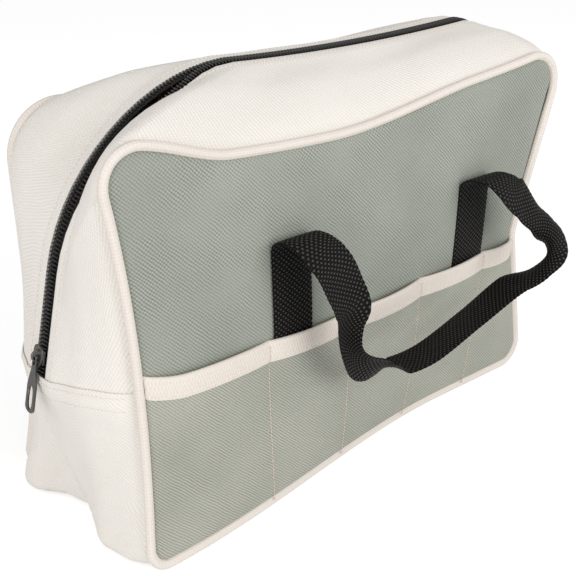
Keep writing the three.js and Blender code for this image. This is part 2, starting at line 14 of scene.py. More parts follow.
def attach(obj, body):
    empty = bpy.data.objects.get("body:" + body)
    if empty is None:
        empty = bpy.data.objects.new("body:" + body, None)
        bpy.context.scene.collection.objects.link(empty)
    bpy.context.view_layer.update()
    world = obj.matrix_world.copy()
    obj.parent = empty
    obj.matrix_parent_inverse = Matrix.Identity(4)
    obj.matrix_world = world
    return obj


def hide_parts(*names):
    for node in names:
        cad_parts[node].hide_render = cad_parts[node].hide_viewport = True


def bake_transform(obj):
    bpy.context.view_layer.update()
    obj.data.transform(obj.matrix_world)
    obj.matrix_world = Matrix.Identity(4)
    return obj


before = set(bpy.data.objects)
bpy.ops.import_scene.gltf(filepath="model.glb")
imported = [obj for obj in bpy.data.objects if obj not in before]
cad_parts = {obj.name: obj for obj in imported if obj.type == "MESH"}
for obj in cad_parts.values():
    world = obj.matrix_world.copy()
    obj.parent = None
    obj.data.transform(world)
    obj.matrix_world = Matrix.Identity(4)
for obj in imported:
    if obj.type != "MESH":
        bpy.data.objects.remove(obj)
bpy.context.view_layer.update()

# Front panel: one piece of sage oxford cloth from the floor to the top edge, with a tan
# lining behind it. It is sewn into the piping all round, and bulges a little between.

MM = 0.001
CLOTH = 1.6
PIPE_RADIUS = 2.75
SEAM_Z = 104
HALF_DEPTH = 62
HALF_LENGTH = 180
FRONT_TOP = 258
FOOT_FORWARD = 24
FOOT_BACK = 9
FOOT_TURN_SPAN = 280
PANEL_BULGE = 8
PANEL_INSET = PIPE_RADIUS + 0.2
PANEL_COLUMNS = 180


def ease(value):
    """Smoothstep: three times the square less twice the cube, held between 0 and 1."""
    t = np.clip(value, 0, 1)
    return t * t * (3 - 2 * t)


def lerp(a, b, t):
    """a where t is 0, b where t is 1, on a straight line between."""
    return a + (b - a) * t


def foot_turn(x, z):
    """How far the foot of the front face stands forward: a smooth change from the left
    foot to the right one, fading with the height to the power two and a half."""
    along = ease((x + HALF_LENGTH - 1) / FOOT_TURN_SPAN)
    return lerp(FOOT_FORWARD, -FOOT_BACK, along) * np.clip(1 - z / FRONT_TOP, 0, None) ** 2.5


# The outline seen from the front. Reaches run from the middle of the bag to its left and
# right ends: at the foot, at the waist and at the top, where round corners cut in.
front_seam = {
    "side": -1,
    "depth": lambda x, z: HALF_DEPTH + foot_turn(x, z),
    "foot": (HALF_LENGTH - 1, HALF_LENGTH + 16),
    "waist": (HALF_LENGTH - 12, HALF_LENGTH - 16),
    "top": (HALF_LENGTH + 2, HALF_LENGTH + 21),
    "corner": (26, 34),
    "foot_corner": (14, 22),
    "waist_z": SEAM_Z + 21,
    "foot_z": PIPE_RADIUS,
    "top_z": FRONT_TOP,
    "sag": 11,
    "slack": 10.5,
    "bend": (2, 1.1),
}


def reach(line, end, z, inset):
    """Reach of one end at height z: the waist's, plus the share of the way to the foot or
    the top raised to the outline's bend."""
    below = z < line["waist_z"]
    span = np.where(below, line["waist_z"] - line["foot_z"], line["top_z"] - line["waist_z"])
    t = np.abs(z - line["waist_z"]) / span
    far = np.where(below, line["foot"][end], line["top"][end])
    return line["waist"][end] + (far - line["waist"][end]) * t ** line["bend"][end] - inset


ARC_STEPS = 14
SIDE_STEPS = 26
QUARTER = np.linspace(0, np.pi / 2, ARC_STEPS + 1)


def lower_end(line, end, inset=0.0):
    """x and z of one end from its bottom edge to the cross seam: a quarter circle, then
    the side."""
    radius = line["foot_corner"][end] - inset
    foot = line["foot_z"] + inset
    arc = foot + radius * (1 - np.cos(QUARTER))
    z = np.concatenate([arc, np.linspace(arc[-1], SEAM_Z, SIDE_STEPS + 1)[1:]])
    cut = np.concatenate([radius * (1 - np.sin(QUARTER)), np.zeros(SIDE_STEPS)])
    return (-1, 1)[end] * (reach(line, end, z, inset) - cut), z


def upper_end(line, end, inset=0.0):
    """x and z of one end from the cross seam to its top edge: the side, then a quarter
    circle."""
    radius = line["corner"][end] - inset
    top = line["top_z"] - inset
    side = np.linspace(SEAM_Z, top - radius, SIDE_STEPS + 1)
    z = np.concatenate([side, top - radius * (1 - np.sin(QUARTER[1:]))])
    cut = np.concatenate([np.zeros(SIDE_STEPS + 1), radius * (1 - np.cos(QUARTER[1:]))])
    return (-1, 1)[end] * (reach(line, end, z, inset) - cut), z


def crowded(share):
    """Shares from 0 to 1 that lie closer together at both ends: most of half of one less the
    cosine, and the rest the share itself."""
    return lerp(share, (1 - np.cos(np.pi * share)) / 2, 0.75)


TUCK = 2.4
TUCK_REACH = 1.9
WAVE_SHARE = 0.8
SLACK_RISE = 0.19
SLACK_END = 0.82
SLACK_FALL = 0.4


def tucked(x, z, top):
    """How far a sheet's rim dips into the piped seam: the tuck times the exponential of
    less the distance from the grid's ends, its foot and, where it is sewn there, its top."""
    near = np.minimum(np.minimum(x - x[:, :1], x[:, -1:] - x), z - z[:1])
    if top:
        near = np.minimum(near, z[-1:] - z)
    return TUCK * np.exp(-near / TUCK_REACH)


def waves(x, z):
    """Slack in the cloth: three long shallow waves that cross each other."""
    return (
        0.9 * np.sin(x / 31 + z / 60)
        + 0.6 * np.sin(z / 23 - x / 90 + 1)
        + 0.3 * np.sin(x / 13 + z / 17)
    )


def face_depth(line, x, z):
    """Distance of a panel's outer face from the middle plane: the seam's, plus a bulge that
    falls with the square of the distance to the ends, the foot and the top."""
    waist = np.where(x < 0, line["waist"][0], line["waist"][1])
    middle = line["top_z"] / 2
    crown = np.clip(1 - (x / waist) ** 2, 0, None) * np.clip(1 - (z / middle - 1) ** 2, 0, None)
    return line["depth"](x, z) + CLOTH / 2 + crown * (PANEL_BULGE + waves(x, z) * WAVE_SHARE)


def hanging(line, s):
    """How far a top edge hangs below a straight line: the sag times one less the square of
    the distance from the middle, and a slack stretch that fades on both sides."""
    slack = line["slack"] * ease(s / SLACK_RISE) * ease((SLACK_END - s) / SLACK_FALL)
    return line["sag"] * (1 - (2 * s - 1) ** 2) + slack


def panel_grid(line):
    """x and z over a whole panel: rows between the two ends, which hang like the top edge
    by the square of the height over the cross seam."""
    ends = []
    for end in (0, 1):
        low = lower_end(line, end, PANEL_INSET)
        high = upper_end(line, end, PANEL_INSET)
        ends.append([np.concatenate([a, b[1:]]) for a, b in zip(low, high)])
    (left, height), (right, _) = ends
    s = crowded(np.linspace(0, 1, PANEL_COLUMNS + 1))
    span = line["top_z"] - PANEL_INSET - SEAM_Z
    share = np.clip((height - SEAM_Z) / span, 0, None) ** 2
    x = lerp(left[:, None], right[:, None], s)
    z = height[:, None] - share[:, None] * hanging(line, s)
    return x, z


def inside_out(points, quads):
    """Whether a closed skin faces inwards: its volume, the sum of the triple products of its
    quads' corners, is negative."""
    a, b, c, d = (points[quads[:, k]] for k in range(4))
    return (a * np.cross(b, c)).sum() + (a * np.cross(c, d)).sum() < 0


def loft(name, rings, threads, materials, inner_from=None, closed=False, wrap=0.0):
    """A closed skin over a row of rings of the same count of points. Each ring closes on
    itself, and the ends are closed by joining each point to its mirror in the ring, unless
    the row of rings closes too. threads holds the cloth's own coordinates in millimetres,
    and wrap is how far they run on where a ring closes. Points from inner_from on get the
    second material."""
    rows, count = rings.shape[:2]
    index = np.arange(rows * count).reshape(rows, count)
    if closed:
        index = np.vstack([index, index[:1]])
        threads = np.concatenate([threads, threads[-1:] + (threads[-1:] - threads[-2:-1])])
    ahead = np.roll(index, -1, axis=1)
    quads = np.stack([index[:-1], ahead[:-1], ahead[1:], index[1:]], -1).reshape(-1, 4)
    shift = np.zeros((1, count, 1))
    shift[0, -1, 0] = wrap
    across = np.roll(threads, -1, axis=1) + shift * np.array([1, 0])
    corners = np.stack([threads[:-1], across[:-1], across[1:], threads[1:]], 2)
    corners = corners.reshape(-1, 4, 2)
    column = np.tile(np.arange(count), rows - (0 if closed else 1))
    slots = np.zeros(len(quads), int)
    if inner_from is not None:
        slots = ((column >= inner_from) & (column < count - 1)).astype(int)
    if not closed:
        half = np.arange(count // 2 - 1)
        for row, flip in ((0, False), (rows - 1, True)):
            cap = np.stack([half, count - 1 - half, count - 2 - half, half + 1], 1)
            cap = cap[:, ::-1] if flip else cap
            quads = np.vstack([quads, row * count + cap])
            corners = np.concatenate([corners, threads[row][cap]])
            slots = np.concatenate([slots, np.zeros(len(cap), int)])
    points = rings.reshape(-1, 3) * MM
    if inside_out(points, quads):
        quads = quads[:, ::-1]
        corners = corners[:, ::-1]
    return make(name, points, quads, materials, corners, slots)


def make(name, points, faces, materials, corners=None, slots=None, sharp=50):
    """An object from points in metres and their faces, with smooth shading up to an angle,
    and the cloth's coordinates as the UV map named threads."""
    mesh = bpy.data.meshes.new(name)
    mesh.from_pydata(points.tolist(), [], faces.tolist())
    for material in materials:
        mesh.materials.append(material)
    mesh.polygons.foreach_set("use_smooth", np.ones(len(faces), bool))
    if slots is not None:
        mesh.polygons.foreach_set("material_index", slots.astype(np.int32))
    if corners is not None:
        layer = mesh.uv_layers.new(name="threads")
        layer.data.foreach_set("uv", corners.reshape(-1).astype(np.float32))
    mesh.update()
    mesh.set_sharp_from_angle(angle=math.radians(sharp))
    piece = bpy.data.objects.new(name, mesh)
    bpy.context.scene.collection.objects.link(piece)
    return piece


def sheet_rings(outer, inner, threads):
    """Rings across a flat sheet: out along its outer face and back along its inner one."""
    rings = np.concatenate([outer, inner[:, ::-1]], axis=1)
    return rings, np.concatenate([threads, threads[:, ::-1]], axis=1)


def linear(hex_code):
    """The linear colour of an sRGB hex value, by the sRGB curve."""
    value = np.array([int(hex_code[k : k + 2], 16) / 255 for k in (1, 3, 5)])
    curve = np.where(value <= 0.04045, value / 12.92, ((value + 0.055) / 1.055) ** 2.4)
    return (*curve.tolist(), 1.0)


def put(tree, kind, links=None, out=0, **settings):
    """Adds a node with its settings, sets or links its inputs, and gives one output, or
    the node itself where it has none."""
    node = tree.nodes.new(kind)
    for key, value in settings.items():
        setattr(node, key, value)
    for key, value in (links or {}).items():
        if isinstance(value, bpy.types.NodeSocket):
            tree.links.new(value, node.inputs[key])
        else:
            node.inputs[key].default_value = value
    return node.outputs[out] if len(node.outputs) else node


def blank_material(name):
    """A material without nodes, and its tree."""
    material = bpy.data.materials.new(name)
    material.use_nodes = True
    material.node_tree.nodes.clear()
    return material, material.node_tree


# What noise does to a cloth, as repeats to a millimetre: slubs about 11 mm long, patches of
# about 30 mm where the weave and its painted light fade, shading over 60 mm, and fuzz a little
# finer than a thread. SLUB_SHIFT is the range in millimetres over which a slub moves a
# thread, and THREAD_RELIEF the height in metres of a thread's bump.
SLUBS = 0.09
PATCHES = 0.035
SHADING = 0.016
FUZZ = 1.1
SLUB_SHIFT = 2
THREAD_RELIEF = 0.0004


def woven(name, light, dark, spacing, relief, turn=0.0, contrast=0.5, stripe=0.0, patchy=0.0):
    """Polyester oxford, woven and calendered: dull, with raised threads that catch light.
    The weave is the sine along the cloth times the sine across it, one half wave to each
    thread, which is half the difference of the cosines of the phases' difference and sum.
    Its colour follows the weave: lighter on the raised crossings as painted highlight and
    darker between them as painted shade. The stripe gives the sum more weight, for rows that
    slope one way. A slow noise makes the threads wander, another makes the weave and its
    painted light fade in patches, and a third shades the cloth."""
    material, tree = blank_material(name)
    threads = put(tree, "ShaderNodeUVMap", uv_map="threads")
    slubs = put(tree, "ShaderNodeTexNoise", {0: threads, "Scale": SLUBS, "Detail": 3.0}, out=1)
    slubs = put(tree, "ShaderNodeVectorMath", {0: slubs, 1: (0.5, 0.5, 0.5)}, operation="SUBTRACT")
    shift = (SLUB_SHIFT, SLUB_SHIFT, 0)
    slubs = put(tree, "ShaderNodeVectorMath", {0: slubs, 1: shift}, operation="MULTIPLY")
    bent = put(tree, "ShaderNodeVectorMath", {0: threads, 1: slubs}, operation="ADD")
    half_waves = (math.pi / spacing[0], math.pi / spacing[1], 1)
    phase = put(tree, "ShaderNodeMapping", {0: bent, 2: (0, 0, turn), 3: half_waves})
    phases = put(tree, "ShaderNodeSeparateXYZ", {0: phase}).node.outputs
    down = put(tree, "ShaderNodeMath", {0: phases[0], 1: phases[1]})
    down = put(tree, "ShaderNodeMath", {0: down}, operation="COSINE")
    up = put(tree, "ShaderNodeMath", {0: phases[0], 1: phases[1]}, operation="SUBTRACT")
    up = put(tree, "ShaderNodeMath", {0: up}, operation="COSINE")
    up = put(tree, "ShaderNodeMath", {0: up, 1: (1 - stripe) / 2}, operation="MULTIPLY")
    rows = {0: down, 1: -(1 + stripe) / 2, 2: up}
    weave = put(tree, "ShaderNodeMath", rows, operation="MULTIPLY_ADD")
    patches = put(tree, "ShaderNodeTexNoise", {0: threads, "Scale": PATCHES, "Detail": 2.0})
    # The patches fade the weave's painted highlight and painted shade at random, and its bump with
    # them.
    wear_and_weave_fade = {0: patches, 1: 0.35, 2: 0.62, 3: 1 - patchy, 4: 1.0}
    patches = put(tree, "ShaderNodeMapRange", wear_and_weave_fade)
    weave = put(tree, "ShaderNodeMath", {0: weave, 1: patches}, operation="MULTIPLY")
    shade = put(tree, "ShaderNodeTexNoise", {0: threads, "Scale": SHADING, "Detail": 4.0})
    fuzz = put(tree, "ShaderNodeTexNoise", {0: threads, "Scale": FUZZ, "Detail": 2.0})
    grain = put(tree, "ShaderNodeMath", {0: shade, 1: fuzz}, operation="ADD")
    # Painted light: the weave sets the colour, lighter on the raised crossings as painted
    # highlight and darker between them as painted shade.
    shaded = {0: weave, 1: contrast, 2: grain}
    shaded = put(tree, "ShaderNodeMath", shaded, operation="MULTIPLY_ADD")
    scaled = {0: shaded, 1: 0.5 - contrast, 2: 1.5 + contrast, 3: 0.0, 4: 1.0}
    tones = {0: put(tree, "ShaderNodeMapRange", scaled), 6: linear(dark), 7: linear(light)}
    colour = put(tree, "ShaderNodeMix", tones, out=2, data_type="RGBA")
    height = put(tree, "ShaderNodeMath", {0: fuzz, 1: 0.35, 2: weave}, operation="MULTIPLY_ADD")
    raised = {"Strength": relief, "Distance": THREAD_RELIEF, "Height": height}
    bump = put(tree, "ShaderNodeBump", raised)
    shader = put(
        tree,
        "ShaderNodeBsdfPrincipled",
        {
            "Base Color": colour,
            "Roughness": 0.82,
            "Specular IOR Level": 0.3,
            "Sheen Weight": 0.15,
            "Sheen Roughness": 0.5,
            "Normal": bump,
        },
    )
    put(tree, "ShaderNodeOutputMaterial", {0: shader})
    return material


# Threads lie 1.3 mm apart on the panels and 1.14 mm apart on the pocket, and their raised
# crossings make diagonal rows.
PANEL_WEAVE = (1.3, 1.3)
POCKET_WEAVE = (1.14, 1.14)
# The panels' sage and the pocket's are lit and shaded copies of one cloth: this one is painted
# darker, as painted shade.
sage = woven(
    "sage_oxford", "#BEC2B7", "#585C53", PANEL_WEAVE, 0.35, contrast=0.9, stripe=0.3, patchy=0.5
)
lining = woven("tan_lining", "#DDBB9F", "#C8A283", (1.0, 1.0), 0.2, contrast=0.3)


def fold(piece):
    """Bakes the piece's transform into its mesh."""
    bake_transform(piece)


def flat_cloth(name, line, x, z, depth, thickness, materials):
    """A sheet that faces forwards or back, from its depth over x and z."""
    outer = np.stack([x, line["side"] * depth, z], -1)
    inner = np.stack([x, line["side"] * (depth - thickness), z], -1)
    rings, threads = sheet_rings(outer, inner, np.stack([x, z], -1))
    return loft(name, rings, threads, materials, inner_from=x.shape[1])


def panel(name, line):
    """A whole panel of sage cloth with its lining, whose rim is tucked into the seam."""
    x, z = panel_grid(line)
    depth = face_depth(line, x, z) - tucked(x, z, True)
    piece = flat_cloth(name, line, x, z, depth, CLOTH, [sage, lining])
    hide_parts(name + "_lower", name + "_upper")
    fold(piece)


panel("front_panel", front_seam)

# Pocket: a second piece of sage cloth over the lower front, sewn down along four lines and
# caught in the piping at the foot and the ends. Each slot stands open a little at the top.

POCKET_TOP = SEAM_Z + 18
POCKET_RAW_EDGE = POCKET_TOP - 2
POCKET_EASE = 4.2
POCKET_CLOTH = 1.2
POCKET_GAP = 0.3
FIRST_DIVIDER = -80
DIVIDER_SPACING = 68.7
DIVIDERS = FIRST_DIVIDER + DIVIDER_SPACING * np.arange(4)
SLOT_STEPS = 30
POCKET_CURVE = 5
CURVE_START = -140
CURVE_SPAN = 34


def pocket_stops(z):
    """x of the pocket's two ends and its dividers at each height."""
    ends = []
    for end in (0, 1):
        x, height = lower_end(front_seam, end, PANEL_INSET)
        high_x, high = upper_end(front_seam, end, PANEL_INSET)
        ends.append(np.interp(z, [*height, *high[1:]], [*x, *high_x[1:]]))
    middle = np.broadcast_to(DIVIDERS, (len(z), len(DIVIDERS)))
    return np.column_stack([ends[0], middle, ends[1]])


def pocket_columns(z):
    """x over the pocket at each height, and the share of the way across each slot."""
    stops = pocket_stops(z)
    share = crowded(np.linspace(0, 1, SLOT_STEPS, endpoint=False))
    x = lerp(stops[:, :-1, None], stops[:, 1:, None], share).reshape(len(z), -1)
    share = np.broadcast_to(share, (len(z), stops.shape[1] - 1, SLOT_STEPS)).reshape(len(z), -1)
    return np.column_stack([x, stops[:, -1]]), np.column_stack([share, np.zeros(len(z))])


def raised(x, z):
    """Heights over the floor where the top of the pocket curves up to the left end."""
    return z + POCKET_CURVE * ease((CURVE_START - x) / CURVE_SPAN) * ease((z - 60) / 50)


def pocket_lift(share, z):
    """How far the pocket stands off the panel: nothing at the dividers, most in the middle
    of each slot, and growing with the height to the power one and a half."""
    bow = (1 - (2 * share - 1) ** 2) ** 0.85
    return POCKET_GAP + POCKET_EASE * (np.clip(z, 0, None) / POCKET_TOP) ** 1.5 * bow


# Painted light: the pocket is the panels' sage cloth painted lighter, a lit copy for the lower
# front where more light falls.
lit_pocket_sage = woven(
    "lit_sage_pocket_oxford",
    "#CBCBBE",
    "#6A6C62",
    POCKET_WEAVE,
    0.35,
    contrast=0.8,
    stripe=0.55,
    patchy=0.35,
)
_, pocket_foot = lower_end(front_seam, 0, PANEL_INSET)
pocket_heights = np.concatenate([pocket_foot, np.linspace(SEAM_Z, POCKET_RAW_EDGE, 8)[1:]])
pocket_x, pocket_share = pocket_columns(pocket_heights)
pocket_z = raised(pocket_x, np.broadcast_to(pocket_heights[:, None], pocket_x.shape))
pocket_inner = face_depth(front_seam, pocket_x, pocket_z) + pocket_lift(pocket_share, pocket_z)
pocket = flat_cloth(
    "pocket_cloth",
    front_seam,
    pocket_x,
    pocket_z,
    pocket_inner + POCKET_CLOTH - tucked(pocket_x, pocket_z, False),
    POCKET_CLOTH,
    [lit_pocket_sage, lit_pocket_sage],
)
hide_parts("pocket_panel")
fold(pocket)

# Pocket binding: cream tape folded over the top edge of the pocket and sewn through near
# its lower edge. The cream cloth is the same oxford as the gusset, with finer threads.

cream = woven("cream_oxford", "#F9F5EF", "#DDD6CD", (1.15, 1.15), 0.35, contrast=0.5, stripe=0.4)
tape_cream = woven("cream_binding", "#F1E8DE", "#D4CABF", (1.0, 2.4), 0.35, contrast=0.5)
BINDING_FOOT = SEAM_Z + 3
BINDING_STEPS = 9
BINDING_TAPE = 0.7
BINDING_PROUD = 0.25
BINDING_PUFF = 0.5
BINDING_INSIDE = 0.05
BINDING_CENTRE = POCKET_TOP - 3.0
BINDING_BEND = POCKET_TOP - 2.2


def binding_section(depth, radius_share):
    """One strip of the fold for every column: up the outside, over the top and down the
    inside, with the top a half circle and the outside puffed by half a sine wave. depth is
    where the pocket's inner face stands, and radius_share the way through the tape."""
    half = POCKET_CLOTH / 2 + BINDING_PROUD + BINDING_TAPE * radius_share
    centre = depth + POCKET_CLOTH / 2
    rise = np.linspace(BINDING_FOOT, BINDING_BEND, BINDING_STEPS)
    turn = np.linspace(0, np.pi, BINDING_STEPS)[1:-1]
    off = np.concatenate([np.full(BINDING_STEPS, 1), np.cos(turn), np.full(BINDING_STEPS, -1)])
    z = np.concatenate([rise, BINDING_BEND + half * np.sin(turn), rise[::-1]])
    puff = BINDING_PUFF * np.sin(np.pi * (rise - BINDING_FOOT) / (BINDING_BEND - BINDING_FOOT))
    puff = np.concatenate([puff, np.zeros(len(turn) + BINDING_STEPS)])
    return centre[:, None] + half * off + puff, np.broadcast_to(z, (len(depth), len(z)))


binding_x, binding_share = (row[0] for row in pocket_columns(np.array([BINDING_CENTRE])))
binding_heights = np.full_like(binding_x, BINDING_CENTRE)
binding_at = face_depth(front_seam, binding_x, binding_heights)
binding_at = binding_at + pocket_lift(binding_share, binding_heights)
tape_out, tape_z = binding_section(binding_at, 1)
tape_in, tape_in_z = binding_section(binding_at, BINDING_INSIDE)


def binding_points(depth, z):
    """Points of the binding: its depth follows the pocket, which leans back above."""
    x = np.broadcast_to(binding_x[:, None], depth.shape)
    share = np.broadcast_to(binding_share[:, None], depth.shape)
    here = face_depth(front_seam, x, z) + pocket_lift(share, z)
    rim = np.minimum(x - binding_x[0], binding_x[-1] - x)
    here = here - TUCK * np.exp(-rim / TUCK_REACH)
    return np.stack([x, -(depth - binding_at[:, None] + here), raised(x, z)], -1)


around = np.linspace(0, 2 * (POCKET_TOP - BINDING_FOOT), tape_out.shape[1])
binding_threads = np.stack(np.broadcast_arrays(binding_x[:, None], around), -1)
binding_rings, binding_threads = sheet_rings(
    binding_points(tape_out, tape_z), binding_points(tape_in, tape_in_z), binding_threads
)
binding = loft("pocket_binding_tape", binding_rings, binding_threads, [tape_cream])
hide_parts("pocket_binding")
fold(binding)

# Piping: a cord in a cover of cream cloth cut on the bias, sewn into the seam all round
# the front and the rear panel. Its cover's threads run at 45 degrees.

bias_cream = woven("cream_piping", "#EFE8E0", "#DCD2C8", (1.5, 1.5), 0.35, turn=math.pi / 4)
EDGE_STEPS = 110
PIPE_SIDES = 20
COVER_RADIUS = PIPE_RADIUS - 0.1
SEAM_FILL = 1.1
rear_seam = {
    **front_seam,
    "side": 1,
    "depth": lambda x, z: HALF_DEPTH + 0 * x,
    "foot": (HALF_LENGTH + 8, HALF_LENGTH + 8),
    "waist": (HALF_LENGTH - 9, HALF_LENGTH - 9),
    "top": (HALF_LENGTH - 8, HALF_LENGTH - 8),
    "corner": (34, 34),
    "top_z": FRONT_TOP - 5,
    "sag": 4,
    "slack": 0,
    "bend": (2, 2),
}


def ring_of(line, end_of, hung):
    """Points from the left end of the cross seam round to its right end, by way of the
    bottom or the top edge."""
    ends = [np.array(end_of(line, end)) for end in (0, 1)]
    left, right = (e if end_of is upper_end else e[:, ::-1] for e in ends)
    s = np.linspace(0, 1, EDGE_STEPS + 1)[1:-1]
    row = lerp(left[:, -1:], right[:, -1:], s) - hung * hanging(line, s) * [[0], [1]]
    x, z = np.concatenate([left, row, right[:, ::-1]], axis=1)
    return np.stack([x, line["side"] * line["depth"](x, z), z], -1)


def lower_ring(line):
    """The half of an outline under the cross seam."""
    return ring_of(line, lower_end, 0)


def upper_ring(line):
    """The half of an outline over the cross seam."""
    return ring_of(line, upper_end, 1)


def unit(vectors):
    """Each vector divided by its own length."""
    return vectors / np.linalg.norm(vectors, axis=-1, keepdims=True)


def run_length(points):
    """Distance along a line of points from its first one."""
    steps = np.linalg.norm(np.diff(points, axis=0), axis=1)
    return np.concatenate([[0], np.cumsum(steps)])


def run_length_across(grid):
    """Distance along each row of a grid from its first column."""
    steps = np.linalg.norm(np.diff(grid, axis=1), axis=2)
    return np.concatenate([np.zeros((len(grid), 1)), np.cumsum(steps, axis=1)], axis=1)


def seam_frame(path):
    """Directions at each point of a closed path: across it near the y axis, and out."""
    along = unit(np.roll(path, -1, axis=0) - np.roll(path, 1, axis=0))
    across = unit(np.array([0, 1, 0]) - along * along[:, 1:2])
    return across, np.cross(across, along)


def piping(name, line):
    """A tube round the whole outline: a circle carried along it, that swells and shrinks
    slowly along its length. Towards the inside its radius grows by the cosine of the angle
    from the seam's diagonal, and it closes the gap between the two cloths."""
    path = np.concatenate([lower_ring(line), upper_ring(line)[-2:0:-1]])
    across, out = seam_frame(path)
    turn = 2 * np.pi * np.arange(PIPE_SIDES) / PIPE_SIDES
    length = run_length(path)
    swell = 1 + 0.02 * np.sin(length / 9) * np.sin(length / 23)
    section = across[:, None] * np.cos(turn)[:, None] + out[:, None] * np.sin(turn)[:, None]
    outwards = np.sign((out * (path - (0, 0, FRONT_TOP / 2))).sum(1, keepdims=True))
    inwards = unit(-line["side"] * across * np.sign(across[:, 1:2]) - out * outwards)
    fill = SEAM_FILL * np.clip((section * inwards[:, None]).sum(2, keepdims=True), 0, 1)
    radius = COVER_RADIUS * swell[:, None, None] + fill
    rings = path[:, None] + radius * section
    rings[..., 2] = np.maximum(rings[..., 2], 0)
    around = turn * PIPE_RADIUS
    threads = np.stack(np.broadcast_arrays(around, length[:, None]), -1)
    piece = loft(name, rings, threads, [bias_cream], closed=True, wrap=2 * np.pi * PIPE_RADIUS)
    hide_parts(name + "_lower", name + "_upper")
    fold(piece)


piping("front_piping", front_seam)
piping("rear_piping", rear_seam)

# Rear panel: plain sage cloth with the same lining, sewn into the rear piping like the
# front one, and without a pocket.

panel("rear_panel", rear_seam)

# Zip strips: two pieces of cream cloth that make the upper end walls and the top, with the
# zip sewn between them. The cloth lies flat beside the zip, swells towards the seams and
# rolls into the piping. The front strip stands back where the mouth gapes.

zip_line = {
    "side": 0,
    "depth": lambda x, z: 0 * x,
    "foot": (HALF_LENGTH, HALF_LENGTH + 12),
    "waist": (HALF_LENGTH + 18, HALF_LENGTH + 17),
    "top": (HALF_LENGTH - 22, HALF_LENGTH - 8),
    "corner": (104, 22),
    "foot_corner": (14, 22),
    "waist_z": SEAM_Z,
    "foot_z": 0,
    "top_z": FRONT_TOP + 18,
    "sag": 3,
    "slack": 0,
    "bend": (1, 1),
}
STRIP_EDGE = 6.3
STRIP_LIP = (-0.5, 0.25)
LAND = 15
LAND_STEPS = 4
GUSSET_SINK = 3.3
SINK_FADE = 30
GUSSET_COLUMNS = 36
GUSSET_SWELL = 2.2
ROLL = 4
FLOOR_FADE = 8
MOUTH_GAP = 10.5
GAP_START = -180
GAP_RISE = 60
GAP_END = -66
GAP_FALL = 36


def outward(ring):
    """Directions square to an outline in the plane of x and z, pointing out of the bag."""
    along = np.gradient(ring, axis=0)
    along[:, 1] = 0
    along = unit(along)
    out = np.stack([-along[:, 2], 0 * along[:, 0], along[:, 0]], -1)
    middle = np.array([0, 0, FRONT_TOP / 2])
    inwards = ((ring - middle) * out).sum(1) < 0
    out[inwards] *= -1
    return out


def gusset_edge(line, ring):
    """Where the gusset dips into a seam: nearly flush with the outside of the piping, but
    all the way out along the floor."""
    out = outward(ring)
    sink = GUSSET_SINK * ease(ring[:, 2:3] / SINK_FADE)
    edge = ring + out * (PIPE_RADIUS - sink)
    edge[:, 1] -= line["side"] * PANEL_INSET
    return edge


def gusset_frames(ring_maker):
    """The zip line with its outward directions, and the gusset's two edges beside it."""
    crest = ring_maker(zip_line)
    out = outward(crest)
    out[[0, -1]] = np.array([[-1, 0, 0], [1, 0, 0]])
    edges = [gusset_edge(line, ring_maker(line)) for line in (front_seam, rear_seam)]
    return crest, out, edges


def gusset_side(crest, out, edge, side, near):
    """Points from beside the zip line to one seam: flat out to the land, then a straight
    line to the seam with a swell of half a sine wave, and a drop of the sink's size into the
    seam, by the exponential of less the distance that is left over the roll."""
    land = crest + np.array([0, side * LAND, 0])
    start = crest + np.stack([0 * near, side * near, 0 * near], -1)
    flat = np.linspace(0, 1, LAND_STEPS + 1)[:-1]
    first = lerp(start[:, None], land[:, None], flat[:, None])
    t = np.linspace(0, 1, GUSSET_COLUMNS) ** 0.8
    second = lerp(land[:, None], edge[:, None], t[:, None])
    left = np.linalg.norm(edge - land, axis=1)[:, None] * (1 - t)
    swell = GUSSET_SWELL * np.sin(np.pi * t)
    swell = swell + GUSSET_SINK * (1 - np.exp(-left / ROLL)) * ease(t * 2)
    lying = 1 - ease((FLOOR_FADE - crest[:, 2]) / FLOOR_FADE)
    second = second + (swell * lying[:, None])[..., None] * out[:, None]
    return np.concatenate([first, second], axis=1)


def strip_slack(points):
    """Ripples of the zip strips, in millimetres: long waves along the top and the ends."""
    x, y, z = np.moveaxis(points, -1, 0)
    along = 0.7 * np.sin(x / 19 + np.abs(y) / 14) + 0.5 * np.sin(z / 21 + y / 11)
    return along * ease((np.abs(y) - LAND) / 14) * ease((HALF_DEPTH + 4 - np.abs(y)) / 12)


def cloth_over(points, out, level):
    """The points moved out of the bag by a level for each of them."""
    return points + level[..., None] * out[:, None]


def mouth_gap(points, side):
    """How far a side's edge stands off the middle, in millimetres: at the rear nothing, and
    at the front a smooth rise and fall round the left corner of the mouth."""
    x = points[:, 0]
    rise = ease((x - GAP_START) / GAP_RISE) * ease((GAP_END - x) / GAP_FALL)
    return (MOUTH_GAP if side < 0 else 0) * rise


crest, out, edges = gusset_frames(upper_ring)
crest_run = run_length(crest)
strips = {}
for side, name, edge in ((-1, "front_zip_strip", edges[0]), (1, "rear_zip_strip", edges[1])):
    points = gusset_side(crest, out, edge, side, STRIP_EDGE + mouth_gap(crest, side))
    level = strip_slack(points)
    level[:, :2] += STRIP_LIP
    outer = cloth_over(points, out, level)
    inner = cloth_over(points, out, level - CLOTH)
    across = np.linalg.norm(points - points[:, :1], axis=-1)
    threads = np.stack(np.broadcast_arrays(crest_run[:, None], across * side), -1)
    rings, threads = sheet_rings(outer, inner, threads)
    strip = loft(name + "_cloth", rings, threads, [cream, lining], inner_from=points.shape[1])
    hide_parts(name)
    fold(strip)
    strips[side] = outer

# Lower gusset: one piece of the same cream cloth, the bottom and both lower end walls. Its
# two ends are folded over the zip strips and sewn down twice, with the edge rising towards
# the front. The left wall is creased, and hollow behind the crease.

